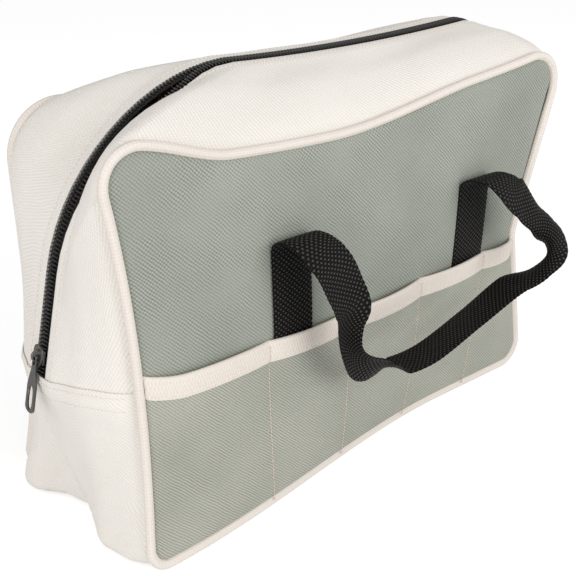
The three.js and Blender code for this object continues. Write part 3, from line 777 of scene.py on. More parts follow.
low_crest, low_out, low_edges = gusset_frames(lower_ring)
FLAP_FOOT = 3.8
FLAP_RISE = 6.5
FLAP_RISE_START = 2
FLAP_RISE_SPAN = 46
FLAP_STEPS = 7
FLAP_CLOTH = 0.8
THIN_START = 94
THIN_SPAN = 8
LAP_START = 84
LAP_SPAN = 14
LAP_LEVEL = 1.5
GUSSET_LEVEL = -0.3
LEVEL_START = 30
FOOT_SQUARE = 5
WALL_START = 160
CREASE_REACH = 28
CREASE_WIDTH = 6
HOLLOW = 9
HOLLOW_FADE = 19
REAR_PUFF = (3.5, 42, 20)
FRONT_PUFF = (3, -42, 12)
WALL_SWELL = 3.5


def both_sides(ring, out, seams):
    """A gusset's points from the front seam to the rear one, across the zip line."""
    front, rear = (
        gusset_side(ring, out, edge, side, 0 * ring[:, 0]) for edge, side in zip(seams, (-1, 1))
    )
    return np.concatenate([front[:, :0:-1], rear], axis=1)


def flap(grid, out):
    """Rows that carry the lower gusset up over the strips, and their outward directions:
    each column climbs its own rise, on the strips' surface between two of its rows."""
    rise = FLAP_FOOT + FLAP_RISE * ease((-grid[0, :, 1] - FLAP_RISE_START) / FLAP_RISE_SPAN)
    row = np.linspace(0, 1, FLAP_STEPS + 1)[1:, None] * rise / (grid[1, :, 2] - grid[0, :, 2])
    low = row.astype(int)
    t = (row - low)[..., None]
    columns = np.arange(grid.shape[1])
    return lerp(grid[low, columns], grid[low + 1, columns], t), lerp(out[low], out[low + 1], t)


def from_seams(points, fade):
    """0 at both seams of a gusset and 1 further than the fade from them."""
    y = points[..., 1]
    return ease(np.minimum(y - y[:, :1], y[:, -1:] - y) / fade)


def puff(y, size, middle, width):
    """A swell across a wall: its size times the exponential of less the square of the
    distance from its middle over its width."""
    return size * np.exp(-(((y - middle) / width) ** 2))


def end_folds(points):
    """Folds in the lower end walls, in millimetres: on the left a crease runs down and
    forwards to the foot, with a hollow behind it that fades as an exponential, and two puffs
    beside it. The right wall swells as the sine across it to the power 0.6. Both flare at the
    foot, by the sixth power of how low a point is, and all of it fades at the seams."""
    x, y, z = np.moveaxis(points, -1, 0)
    wall = ease((np.abs(x) - WALL_START) / 8)
    height = np.clip(z / SEAM_Z, 0, 1)
    low = 1 - height
    behind = y - lerp(-CREASE_REACH, CREASE_REACH, height**0.8)
    hollow = HOLLOW * ease(behind / CREASE_WIDTH) * low**0.35
    hollow = hollow * np.exp(-np.clip(behind - 8, 0, None) / HOLLOW_FADE)
    puffs = (puff(y, *REAR_PUFF) + puff(y, *FRONT_PUFF)) * low
    left = puffs - hollow + lerp(1, 6, ease((y + 10) / 40)) * low**6
    across = np.clip((y + HALF_DEPTH) / (2 * HALF_DEPTH), 0, 1)
    right = WALL_SWELL * np.sin(np.pi * across) ** 0.6 * low + 2 * low**6
    return wall * np.where(x < 0, left, right) * from_seams(points, 12)


def squared_foot(points):
    """The foot's round corner made squarer away from the seams: each point of the quarter
    circle moves out from the arc's middle, onto a curve of a higher power."""
    x, _, z = np.moveaxis(points, -1, 0)
    end = (x > 0).astype(int)
    radius = np.array(zip_line["foot_corner"])[end]
    knee = np.where(x < 0, points[SIDE_STEPS, :, 0], points[-1 - SIDE_STEPS, :, 0])
    across = np.clip(np.abs(x) - np.abs(knee) + radius, 0, None)
    down = np.clip(radius - z, 0, None)
    reach_out = np.hypot(across, down) + 1e-6
    power = (across / reach_out) ** FOOT_SQUARE + (down / reach_out) ** FOOT_SQUARE
    grow = np.clip(power, 1e-3, 1) ** (-1 / FOOT_SQUARE) - 1
    grow = grow * from_seams(points, 18) * (across > 0) * (down > 0)
    move = np.stack([np.sign(x) * across * grow, 0 * x, -down * grow], -1)
    return points + move


def bottom_lift(points):
    """The bottom's height over the floor: a slight wave, up to half a millimetre high."""
    x, y, _ = np.moveaxis(points, -1, 0)
    return 0.25 * (1 + np.sin(x / 17 + y / 13))


low_points = both_sides(low_crest, low_out, low_edges)
low_outs = np.broadcast_to(low_out[:, None], low_points.shape)
flat_bottom = np.abs(low_outs[..., 2]) > 0.7
walls = np.array([1, 0, 0]) * np.sign(low_points[..., :1])
low_shape = squared_foot(low_points) + end_folds(low_points)[..., None] * walls
low_shape[..., 2] = np.where(
    flat_bottom,
    np.maximum(low_shape[..., 2], bottom_lift(low_points)),
    np.maximum(low_shape[..., 2], 0.3),
)
strip_points = both_sides(crest, out, edges)
left_flap, left_out = flap(strip_points, out)
right_flap, right_out = flap(strip_points[::-1], out[::-1])
low_shape = np.concatenate([left_flap[::-1], low_shape, right_flap])
low_outs = np.concatenate([left_out[::-1], low_outs, right_out])
lap = ease((low_shape[..., 2] - LAP_START) / LAP_SPAN)
level = (LAP_LEVEL + strip_slack(low_shape)) * lap + GUSSET_LEVEL
low_outer = low_shape + level[..., None] * low_outs * (low_shape[..., 2:] > LEVEL_START)
thickness = lerp(CLOTH, FLAP_CLOTH, ease((low_shape[..., 2] - THIN_START) / THIN_SPAN))
low_inner = low_outer - thickness[..., None] * low_outs
centre_column = GUSSET_COLUMNS + LAND_STEPS - 1
low_run = run_length_across(low_shape.swapaxes(0, 1)).T
low_run = low_run - low_run[len(low_run) // 2]
to_front = run_length_across(low_shape[:, centre_column::-1])
to_rear = run_length_across(low_shape[:, centre_column:])
low_across = np.concatenate([-to_front[:, :0:-1], to_rear], axis=1)
low_threads = np.stack([low_run, low_across], -1)
low_rings, low_threads = sheet_rings(low_outer, low_inner, low_threads)
gusset = loft(
    "lower_gusset_cloth", low_rings, low_threads, [cream, lining], inner_from=low_outer.shape[1]
)
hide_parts("lower_gusset")
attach(gusset, "root")

# Zip: black woven tape under each strip, with a row of nylon coil along its edge. Each turn
# of the coil is a short rounded bar across the row, and the turns of the two rows lie
# between each other. The rows stand apart where the mouth gapes at the left corner.

TAPE_CLEARANCE = 0.3
TAPE_LEVEL = -CLOTH - TAPE_CLEARANCE
TAPE = 0.9
TAPE_WIDTH = 13
TAPE_COLUMNS = 7
ROW_GAP = 0.6
TOOTH_PITCH = 2.5
TOOTH_REACH = 4.8
TOOTH_HALF_HEIGHT = 1.42
TOOTH_HALF_WIDTH = 0.72
TOOTH_LEVEL = TAPE_LEVEL + TAPE_CLEARANCE + TOOTH_HALF_HEIGHT
BAR_SIDES = 6
BAR_TURN = 2 * np.pi * (np.arange(BAR_SIDES) + 0.5) / BAR_SIDES

tape_black = woven("woven_zip_tape", "#2E2C2B", "#141313", (0.9, 0.9), 0.5, contrast=0.5)


def moulded_nylon(name, colour, roughness):
    """Nylon monofilament, wound hot into a coil: smooth, so each turn has a small glint."""
    material, tree = blank_material(name)
    place = put(tree, "ShaderNodeTexCoord", out=3)
    haze = put(tree, "ShaderNodeTexNoise", {0: place, "Scale": 60.0, "Detail": 3.0})
    rough = put(tree, "ShaderNodeMapRange", {0: haze, 3: roughness - 0.1, 4: roughness + 0.15})
    tones = {0: haze, 6: linear(colour[0]), 7: linear(colour[1])}
    tint = put(tree, "ShaderNodeMix", tones, out=2, data_type="RGBA")
    shader = put(tree, "ShaderNodeBsdfPrincipled", {"Base Color": tint, "Roughness": rough})
    put(tree, "ShaderNodeOutputMaterial", {0: shader})
    return material


coil_nylon = moulded_nylon("coil_nylon", ("#171615", "#2B2927"), 0.38)


def along_zip(side, near, level):
    """Points at given distances from the middle of the zip and one height over the gusset."""
    y = side * (near + mouth_gap(crest, side)[:, None])
    return crest[:, None] + y[..., None] * np.array([0, 1, 0]) + level * out[:, None]


def places(at, run, points):
    """The points of a line at given distances along it, where run is its own distances."""
    return np.stack([np.interp(at, run, points[:, k]) for k in range(points.shape[1])], -1)


def bars(points):
    """Faces for many bars at once, each a row of rings: quads round it, and its two ends
    closed by joining each point to its mirror in the ring."""
    count, size = points.shape[:2]
    rings = np.arange(size).reshape(-1, BAR_SIDES)
    ahead = np.roll(rings, -1, axis=1)
    skin = np.stack([rings[:-1], ahead[:-1], ahead[1:], rings[1:]], -1).reshape(-1, 4)
    half = np.arange(BAR_SIDES // 2 - 1)
    first = np.stack([half, BAR_SIDES - 1 - half, BAR_SIDES - 2 - half, half + 1], 1)
    last = (size - BAR_SIDES) + first[:, ::-1]
    faces = np.vstack([skin, first, last])
    every = (faces[None] + size * np.arange(count)[:, None, None]).reshape(-1, 4)
    flat = points.reshape(-1, 3) * MM
    return flat, every[:, ::-1] if inside_out(flat, every) else every


def teeth(side):
    """The turns of one row: a six-sided bar with rounded ends for every pitch along the
    zip, half a pitch apart from the other row's."""
    count = int(crest_run[-1] / TOOTH_PITCH) - 1
    at = TOOTH_PITCH * (np.arange(count) + (0.75 if side < 0 else 1.25))
    spot = places(at, crest_run, crest)
    up = unit(places(at, crest_run, out))
    along = np.cross(up, [0, 1, 0])
    shift = np.interp(at, crest_run, mouth_gap(crest, side))
    reach_in = np.array([-0.1, 0.35, 1.4, 2.8, 3.9, TOOTH_REACH])
    size = np.array([0.35, 0.9, 1, 0.95, 0.8, 0.4])
    wide = np.outer(size, np.cos(BAR_TURN)).reshape(-1, 1) * TOOTH_HALF_WIDTH
    high = np.outer(size, np.sin(BAR_TURN)).reshape(-1, 1) * TOOTH_HALF_HEIGHT + TOOTH_LEVEL
    points = spot[:, None] + wide * along[:, None] + high * up[:, None]
    points[..., 1] += side * (np.repeat(reach_in, BAR_SIDES) + shift[:, None])
    return bars(points)


for side, name in ((-1, "front"), (1, "rear")):
    near = np.linspace(ROW_GAP, ROW_GAP + TAPE_WIDTH, TAPE_COLUMNS)
    top = along_zip(side, near, TAPE_LEVEL)
    under = along_zip(side, near, TAPE_LEVEL - TAPE)
    threads = np.stack(np.broadcast_arrays(crest_run[:, None], near), -1)
    rings, threads = sheet_rings(top, under, threads)
    tape = loft(name + "_zip_tape_cloth", rings, threads, [tape_black])
    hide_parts(name + "_zip_tape")
    fold(tape)
    coil = make(name + "_zip_coil_turns", *teeth(side), [coil_nylon], sharp=80)
    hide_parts(name + "_zip_coil")
    fold(coil)

# Slider: die-cast zinc with a dark lacquer, worn bright along its edges. Two plates joined
# by a post hold the rows of the coil, with a flange down each side and an arch on top.

SLIDER_Z = SEAM_Z + 16
SLIDER_LENGTH = 13
SLIDER_HALF_WIDTH = 5.6
SLIDER_WAIST = 0.22
PLATE = 1.4
ROOM_OVER_TAPE = 3.2
ROOM_UNDER_TAPE = 0.4
SLIDER_TOP = TAPE_LEVEL + ROOM_OVER_TAPE + PLATE
SLIDER_BOTTOM = TAPE_LEVEL - TAPE - ROOM_UNDER_TAPE - PLATE
PLATE_BEVEL = 0.45
THIN_BEVEL = 0.2
FLANGE_Y = 5.1
ARCH_LENGTH = 8.4
ARCH_HEIGHT = 4.4
ARCH_HALF_WIDTH = 1.0
ARCH_HALF_THICKNESS = 0.7
ARCH_SINK = 0.1
ARCH_STEPS = 30
ARCH_SIDES = 12


def lacquered_zinc():
    """Die-cast zinc alloy under dark lacquer: a soft metal shine, with rubbed edges that the
    corners' pointiness picks out, and fine scratches."""
    material, tree = blank_material("lacquered_zinc")
    place = put(tree, "ShaderNodeTexCoord", out=3)
    mottle = put(tree, "ShaderNodeTexNoise", {0: place, "Scale": 350.0, "Detail": 4.0})
    edge = put(tree, "ShaderNodeNewGeometry").node.outputs["Pointiness"]
    wear_and_weave_fade = put(tree, "ShaderNodeMapRange", {0: edge, 1: 0.52, 2: 0.6, 3: 0.0, 4: 0.7})
    tones = {0: wear_and_weave_fade, 6: linear("#4A4846"), 7: linear("#8D8A85")}
    tint = put(tree, "ShaderNodeMix", tones, out=2, data_type="RGBA")
    rough = put(tree, "ShaderNodeMapRange", {0: mottle, 3: 0.3, 4: 0.5})
    metal = {"Base Color": tint, "Metallic": 0.75, "Roughness": rough}
    shader = put(tree, "ShaderNodeBsdfPrincipled", metal)
    put(tree, "ShaderNodeOutputMaterial", {0: shader})
    return material


zinc = lacquered_zinc()
zip_low = np.array([-zip_line["waist"][0], 0, SEAM_Z], float)
zip_high_z = zip_line["top_z"] - zip_line["corner"][0]
zip_share = (zip_high_z - SEAM_Z) / (zip_line["top_z"] - SEAM_Z)
zip_high_x = lerp(zip_line["waist"][0], zip_line["top"][0], zip_share)
zip_high = np.array([-zip_high_x, 0, zip_high_z], float)
ZIP_ALONG = unit(zip_high - zip_low)
ZIP_OUT = np.array([-ZIP_ALONG[2], 0, ZIP_ALONG[0]])
ZIP_ACROSS = np.array([0.0, 1.0, 0.0])
slider_centre = zip_low + ZIP_ALONG * (SLIDER_Z - SEAM_Z) / ZIP_ALONG[2]


def rounded_plate(name, outlines, origin, u, v, thickness, bevel):
    """A flat casting: closed outlines filled in their plane, given a thickness and a round
    edge, and laid down on two directions at a place."""
    curve = bpy.data.curves.new(name, "CURVE")
    curve.dimensions = "2D"
    curve.fill_mode = "BOTH"
    curve.extrude = (thickness / 2 - bevel) * MM
    curve.bevel_depth = bevel * MM
    curve.bevel_resolution = 3
    curve.offset = -bevel * MM
    for outline in outlines:
        spline = curve.splines.new("POLY")
        spline.points.add(len(outline) - 1)
        flat = np.pad(np.array(outline) * MM, ((0, 0), (0, 2)))
        flat[:, 3] = 1
        spline.points.foreach_set("co", flat.ravel().astype(np.float32))
        spline.use_cyclic_u = True
    holder = bpy.data.objects.new(name + "_outline", curve)
    bpy.context.scene.collection.objects.link(holder)
    bpy.context.view_layer.update()
    graph = bpy.context.evaluated_depsgraph_get()
    mesh = bpy.data.meshes.new_from_object(holder.evaluated_get(graph))
    bpy.data.objects.remove(holder)
    place = np.eye(4)
    place[:3] = np.stack([u, v, np.cross(u, v), np.array(origin) * MM], -1)
    mesh.transform(Matrix(place.tolist()))
    mesh.name = name
    return mesh


def superellipse(width, height, power, count=40, centre=(0, 0)):
    """Points of a rounded box: cosine and sine raised to two over the power."""
    turn = 2 * np.pi * np.arange(count) / count
    cosine, sine = np.cos(turn), np.sin(turn)
    x = np.sign(cosine) * np.abs(cosine) ** (2 / power) * width / 2 + centre[0]
    y = np.sign(sine) * np.abs(sine) ** (2 / power) * height / 2 + centre[1]
    return np.stack([x, y], -1)


def slider_outline():
    """Seen from above, the slider is wide where the rows part and waisted towards the tail."""
    points = superellipse(SLIDER_LENGTH, 2 * SLIDER_HALF_WIDTH, 3.2)
    points[:, 1] *= 1 - SLIDER_WAIST * ease((1 - points[:, 0]) / 6)
    return points


def joined(name, meshes, materials):
    """One object from several meshes, the corners of each numbered on from the last one's."""
    points, faces = np.zeros((0, 3)), []
    for mesh in meshes:
        flat = np.empty(len(mesh.vertices) * 3, np.float32)
        mesh.vertices.foreach_get("co", flat)
        faces += [[len(points) + k for k in polygon.vertices] for polygon in mesh.polygons]
        points = np.vstack([points, flat.reshape(-1, 3)])
    return make(name, points, np.array(faces, object), materials, sharp=40)


def over_slider(level):
    """The place over the slider's middle at a height over the gusset."""
    return slider_centre + ZIP_OUT * level


flange_outlines = [
    superellipse(SLIDER_LENGTH * 0.7, 1.0, 4, centre=(0, way * FLANGE_Y)) for way in (-1, 1)
]
castings = [
    rounded_plate(name, outlines, over_slider(level), ZIP_ALONG, ZIP_ACROSS, thickness, bevel)
    for name, outlines, level, thickness, bevel in (
        ("cover", [slider_outline()], SLIDER_TOP - PLATE / 2, PLATE, PLATE_BEVEL),
        ("bed", [slider_outline()], SLIDER_BOTTOM + PLATE / 2, PLATE, PLATE_BEVEL),
        (
            "post",
            [superellipse(8, 0.9, 3)],
            (SLIDER_TOP + SLIDER_BOTTOM) / 2,
            SLIDER_TOP - SLIDER_BOTTOM - PLATE,
            THIN_BEVEL,
        ),
        ("flange", flange_outlines, SLIDER_TOP - PLATE - 0.3, 1.2, THIN_BEVEL),
    )
]
arch_bend = np.linspace(-0.08, np.pi + 0.08, ARCH_STEPS)[:, None]
arch_rise = ARCH_HEIGHT - ARCH_SINK - ARCH_HALF_THICKNESS
arch_path = (
    over_slider(SLIDER_TOP - ARCH_SINK)
    + np.cos(arch_bend) * (ARCH_LENGTH / 2 - ARCH_HALF_THICKNESS) * ZIP_ALONG
    + np.sin(arch_bend) * arch_rise * ZIP_OUT
)
arch_along = unit(np.gradient(arch_path, axis=0))
arch_up = np.cross(arch_along, ZIP_ACROSS)
arch_turn = 2 * np.pi * (np.arange(ARCH_SIDES) + 0.5)[:, None] / ARCH_SIDES
arch_rings = (
    arch_path[:, None]
    + np.cos(arch_turn) * ARCH_HALF_WIDTH * ZIP_ACROSS
    + np.sin(arch_turn) * ARCH_HALF_THICKNESS * arch_up[:, None]
)
arch = loft("arch", arch_rings, np.zeros((ARCH_STEPS, ARCH_SIDES, 2)), [zinc])
arch_mesh = arch.data
bpy.data.objects.remove(arch)
slider = joined("slider_casting", [*castings, arch_mesh], [zinc])
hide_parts("zip_slider")
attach(slider, "slider")

# Pull tab: one more zinc casting. A narrow neck with an eye hangs on the arch's bar, and
# widens to a rounded blade with a long slot.

TAB_LENGTH = 38
TAB_WIDTH = 10.5
TAB_NECK = 4.4
TAB_THICKNESS = 1.5
TAB_OVERHANG = 0.7
TAB_ROOM = 4
TAB_LEVEL = SLIDER_TOP + (TAB_ROOM - TAB_THICKNESS) / 2
TAB_ROUND = 2.6


def tab_outline():
    """The tab from its cross bar at zero: a narrow neck that widens to the blade, with both
    ends rounded as ellipses, by the square root of one less a square."""
    run = np.linspace(-TAB_OVERHANG, TAB_LENGTH - TAB_OVERHANG, 60)
    half = lerp(TAB_NECK / 2, TAB_WIDTH / 2, ease((run - 6) / 15))
    for left in ((run[-1] - run) / 3.6, (run - run[0]) / 1.6):
        half = half * np.sqrt(1 - (1 - np.clip(left, 0, 1)) ** 2)
    right_side = np.stack([half, run], -1)
    left_side = np.stack([-half, run], -1)
    return np.concatenate([right_side, left_side[-2:0:-1]])


tab_mesh = rounded_plate(
    "pull_tab_casting",
    [
        tab_outline(),
        superellipse(2.6, 5.0, TAB_ROUND, 24, (0, 3.4)),
        superellipse(5.4, 15.5, TAB_ROUND, 36, (0, TAB_LENGTH - 10.6)),
    ],
    over_slider(TAB_LEVEL),
    -ZIP_ACROSS,
    -ZIP_ALONG,
    TAB_THICKNESS,
    PLATE_BEVEL,
)
tab = joined("pull_tab_casting", [tab_mesh], [zinc])
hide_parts("zip_pull_tab")
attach(tab, "pull_tab")

# Handles: polypropylene webbing, black, 30 mm wide, woven from thick flat yarns. Each end
# is sewn to the panel behind the pocket and stands up to a crest, and the loop falls in
# front, turning on edge at both lower corners.

WEB_WIDTH = 30
WEB = 1.6
LEFT_END = FIRST_DIVIDER + 20
RIGHT_END = FIRST_DIVIDER + 3 * DIVIDER_SPACING - 19.1
END_FOOT = {-1: 90, 1: SEAM_Z - 12}
END_GAP = 0.3
END_TOP = 178
CREST_PROUD = 0.15
CREST_Y = HALF_DEPTH + 21
CREST_Z = END_TOP + 10
LOOP_DROP = 100
LOOP_STANDOFF = 34
ROUTE_STEPS = 1500
SHEARED_REACH = 26
YARN_ACROSS = 1.85
YARN_ALONG = 1.75
YARN_RELIEF = 0.2
YARN_STEP = 0.009
EDGE_THINNING = 0.55
CUP = 0.3
LEAST_KEPT = 0.3
END_STEP = 0.8
LOOP_STEP = 0.85
WEB_COLUMNS = 33


def webbing():
    """Black polypropylene webbing: the raised weft yarns between the warp are painted as rows of
    grey spots, and each rib faintly lighter, as painted highlight on the black yarn. The weave
    is drawn at its true spacing of about 1.8 mm, with a fine grain of filaments along each
    yarn, and the yarns have a faint shine."""
    material, tree = blank_material("polypropylene_webbing")
    threads = put(tree, "ShaderNodeUVMap", uv_map="threads")
    half_waves = (math.pi / YARN_ACROSS, math.pi / YARN_ALONG, 1)
    phase = put(tree, "ShaderNodeMapping", {0: threads, 3: half_waves})
    phases = put(tree, "ShaderNodeSeparateXYZ", {0: phase}).node.outputs
    across = put(tree, "ShaderNodeMath", {0: phases[0]}, operation="SINE")
    along = put(tree, "ShaderNodeMath", {0: phases[1]}, operation="SINE")
    weave = put(tree, "ShaderNodeMath", {0: across, 1: along}, operation="MULTIPLY")
    stretched = put(tree, "ShaderNodeMapping", {0: threads, 3: (5.0, 0.8, 1)})
    filaments = put(tree, "ShaderNodeTexNoise", {0: stretched, "Scale": 1.0, "Detail": 2.0})
    raised = put(tree, "ShaderNodeMapRange", {0: weave, 1: 0.3, 2: 0.85, 3: 0.0, 4: 1.0})
    dot_highlights = put(tree, "ShaderNodeMath", {0: raised, 1: filaments}, operation="MULTIPLY")
    rib_highlights = put(tree, "ShaderNodeMath", {0: along, 1: along}, operation="MULTIPLY")
    lit = put(tree, "ShaderNodeMath", {0: rib_highlights, 1: 0.05, 2: dot_highlights}, operation="MULTIPLY_ADD")
    # Painted highlight: the black yarn is painted grey where the weft is raised, and faintly
    # lighter along each rib.
    tones = {0: lit, 6: linear("#020202"), 7: linear("#6A6763")}
    tint = put(tree, "ShaderNodeMix", tones, out=2, data_type="RGBA")
    height = {0: filaments, 1: 0.5, 2: weave}
    height = put(tree, "ShaderNodeMath", height, operation="MULTIPLY_ADD")
    bump = put(tree, "ShaderNodeBump", {"Strength": 0.6, "Distance": 0.0005, "Height": height})
    yarn = {"Base Color": tint, "Roughness": 0.5, "Specular IOR Level": 0.07, "Normal": bump}
    shader = put(tree, "ShaderNodeBsdfPrincipled", yarn)
    put(tree, "ShaderNodeOutputMaterial", {0: shader})
    return material


strap = webbing()
web_u = np.linspace(-0.5, 0.5, WEB_COLUMNS)


def strap_rings(centre, width, normal, kept):
    """The strap carried along a path: its section is a thin flat box, softened at its edges
    by the eighth power of the place across, its faces rise and fall as the sine along times
    the sine across, and its edges step out with every weft yarn. Where less than its whole
    width is kept it is cupped, as the square of the place across."""
    length = run_length(centre)
    place = web_u * WEB_WIDTH
    yarn = np.sin(np.pi * length / YARN_ALONG)[:, None]
    relief = YARN_RELIEF * np.sin(np.pi * place / YARN_ACROSS) * yarn
    half = WEB / 2 * (1 - EDGE_THINNING * np.abs(2 * web_u) ** 8)
    kept = kept[:, None]
    cup = CUP * WEB_WIDTH * np.sqrt(1 - kept**2) * (4 * web_u**2 - 0.5)
    across = place * kept * (1 + YARN_STEP * yarn)
    flat = centre[:, None] + across[..., None] * width[:, None]
    outer = flat + (cup + relief + half)[..., None] * normal[:, None]
    inner = flat + (cup + relief - half)[..., None] * normal[:, None]
    threads = np.stack(np.broadcast_arrays(place, length[:, None]), -1)
    return sheet_rings(outer, inner, threads)


def resampled(path, step):
    """The path's points at even steps along it, and the share of its own points there."""
    length = run_length(path)
    at = np.linspace(0, length[-1], int(length[-1] / step) + 1)
    share = np.interp(at, length, np.arange(len(path)))
    return places(at, length, path), share


def handle_end(name, line, middle, node):
    """Up the panel on its own surface, then a quarter turn of an ellipse out to the crest."""
    z = np.linspace(END_FOOT[line["side"]], END_TOP, 60)
    y = face_depth(line, np.full_like(z, middle), z) + END_GAP + WEB / 2
    turn = np.linspace(0, np.pi / 2, 24)[1:]
    curl_y = lerp(y[-1], CREST_Y + CREST_PROUD, 1 - np.cos(turn))
    curl_z = END_TOP + (CREST_Z - WEB / 2 - END_TOP) * np.sin(turn)
    y, z = np.concatenate([y, curl_y]), np.concatenate([z, curl_z])
    path, _ = resampled(np.stack([np.full_like(z, middle), line["side"] * y, z], -1), END_STEP)
    along = unit(np.gradient(path, axis=0))
    width = np.broadcast_to([1.0, 0, 0], along.shape)
    outside = np.cross(along, width) * line["side"]
    rings, threads = strap_rings(path, width, outside, np.ones(len(path)))
    piece = loft(name, rings, threads, [strap])
    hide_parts(node)
    fold(piece)


# The loop's route, which the rear handle mirrors: shares of the way from the left crest to
# the right one, of the standoff and of the drop, the direction of the strap's width there,
# and how much of the width is left where the strap is creased lengthwise at the corners.
LOOP_ROUTE = [
    (0.006, 0.17, 0.014, (1, 0.02, 0.01), 1),
    (0.022, 0.34, 0.062, (1, 0.06, 0.05), 1),
    (0.052, 0.5, 0.15, (1, 0.1, 0.08), 1),
    (0.085, 0.6, 0.3, (1, 0.05, 0.03), 0.97),
    (0.111, 0.676, 0.45, (1, -0.05, -0.1), 0.9),
    (0.106, 0.618, 0.58, (1, -0.07, 0.07), 0.64),
    (0.128, 0.553, 0.75, (0.9, -0.2, 0.4), 0.5),
    (0.21, 0.485, 0.92, (0.4, -0.4, 0.85), 0.7),
    (0.306, 0.529, 0.985, (-0.3, -0.6, 0.8), 0.9),
    (0.345, 0.59, 0.995, (-0.3, -0.85, 0.5), 1),
    (0.383, 0.647, 1, (-0.72, -0.7, 0.1), 1),
    (0.497, 0.735, 0.975, (-0.53, -0.84, 0.07), 1),
    (0.755, 0.765, 0.845, (-0.43, -0.88, 0.1), 1),
    (0.989, 0.824, 0.7, (-0.45, -0.87, 0.03), 1),
    (1.112, 0.941, 0.65, (-0.5, -0.8, 0.2), 0.9),
    (1.195, 0.985, 0.58, (-0.15, -0.9, 0.35), 0.6),
    (1.226, 0.88, 0.49, (0.4, -0.75, 0.1), 0.5),
    (1.208, 0.72, 0.395, (0.8, -0.3, -0.25), 0.66),
    (1.158, 0.56, 0.285, (0.88, 0, -0.35), 0.86),
    (1.09, 0.44, 0.165, (0.94, 0.06, -0.25), 1),
    (1.036, 0.32, 0.066, (0.98, 0.04, -0.12), 1),
    (1.01, 0.17, 0.014, (1, 0.01, -0.03), 1),
]


def through(stops):
    """A smooth curve through points: a cubic for each stretch, whose ends' slopes come from
    the neighbours, weighted by the square roots of the distances between points."""
    stops = np.array(stops, float)
    ends = np.vstack([2 * stops[0] - stops[1], stops, 2 * stops[-1] - stops[-2]])
    gaps = np.maximum(np.linalg.norm(np.diff(ends, axis=0), axis=1), 1e-3) ** 0.5
    t = np.linspace(0, len(stops) - 1, ROUTE_STEPS)
    k = np.minimum(t.astype(int), len(stops) - 2)
    t = (t - k)[:, None]
    p0, p1, p2, p3 = (ends[k + j] for j in range(4))
    d0, d1, d2 = (gaps[k + j][:, None] for j in range(3))
    m1 = ((p1 - p0) / d0 - (p2 - p0) / (d0 + d1) + (p2 - p1) / d1) * d1
    m2 = ((p2 - p1) / d1 - (p3 - p1) / (d1 + d2) + (p3 - p2) / d2) * d1
    return p1 + m1 * t + (3 * (p2 - p1) - 2 * m1 - m2) * t**2 + (2 * (p1 - p2) + m1 + m2) * t**3


def handle_loop(name, line, body, node):
    """The free loop between its two crests, where it is sheared a little: there its width
    keeps to the crest's line, and further on it stands square to the run."""
    side = line["side"]
    crest_y, crest_z = side * (CREST_Y + CREST_PROUD), CREST_Z - WEB / 2
    stops, turns, kept = [(LEFT_END, crest_y, crest_z)], [(1, 0, 0)], [(1, 1, 1)]
    for across, forwards, down, (x, y, z), width_left in LOOP_ROUTE:
        at_y = side * (CREST_Y + LOOP_STANDOFF * forwards)
        stops.append((lerp(LEFT_END, RIGHT_END, across), at_y, CREST_Z - LOOP_DROP * down))
        turns.append((x, -side * y, z))
        kept.append((width_left,) * 3)
    path, share = resampled(through([*stops, (RIGHT_END, crest_y, crest_z)]), LOOP_STEP)
    lean = places(share, np.arange(ROUTE_STEPS), through([*turns, (1, 0, 0)]))
    kept = places(share, np.arange(ROUTE_STEPS), through([*kept, (1, 1, 1)]))[:, 0]
    kept = np.clip(kept, LEAST_KEPT, 1)
    along = unit(np.gradient(path, axis=0))
    along[0] = (0, side, 0)
    along[-1] = (0, -side, 0)
    length = run_length(path)
    square = ease(np.minimum(length, length[-1] - length) / SHEARED_REACH)[:, None]
    width = unit(lean - square * along * (lean * along).sum(1, keepdims=True))
    rings, threads = strap_rings(path, width, unit(np.cross(along, width)), kept)
    piece = loft(name, rings, threads, [strap])
    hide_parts(node)
    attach(piece, body)


for line, name in ((front_seam, "front"), (rear_seam, "rear")):
    handle_end(name + "_strap_left", line, LEFT_END, name + "_handle_left_end")
    handle_end(name + "_strap_right", line, RIGHT_END, name + "_handle_right_end")
    handle_loop(name + "_strap_loop", line, name + "_handle", name + "_handle_loop")

# Stitching: polyester thread, lockstitched about eight stitches to the inch. Every stitch
# is a short round bar whose ends dip into the cloth. The thread is drawn half as thick again,
# so that it shows at the distance of the photograph.

STITCH_PITCH = 3.2
STITCH_LENGTH = 2.5
STITCH_RADIUS = 0.42
CROSS_SEAM_RADIUS = 0.4
CROSS_SEAM_DROPS = (3.4, 11.5)
TACK_PITCH = 2.4
TACK_LENGTH = 14
BINDING_SEAM_Z = BINDING_FOOT + 2.4
WALL_ROWS = 30


def sewing_thread(name, colour):
    """Spun polyester thread: dull, with a twist of about a millimetre that shades it."""
    material, tree = blank_material(name)
    place = put(tree, "ShaderNodeTexCoord", out=3)
    twist = put(tree, "ShaderNodeTexNoise", {0: place, "Scale": 1400.0, "Detail": 1.0})
    tones = {0: twist, 6: linear(colour[0]), 7: linear(colour[1])}
    tint = put(tree, "ShaderNodeMix", tones, out=2, data_type="RGBA")
    shader = put(tree, "ShaderNodeBsdfPrincipled", {"Base Color": tint, "Roughness": 0.75})
    put(tree, "ShaderNodeOutputMaterial", {0: shader})
    return material


beige_thread = sewing_thread("beige_thread", ("#C4AF9F", "#E6D3C5"))
cream_thread = sewing_thread("cream_thread", ("#DCD2C6", "#F2EAE0"))


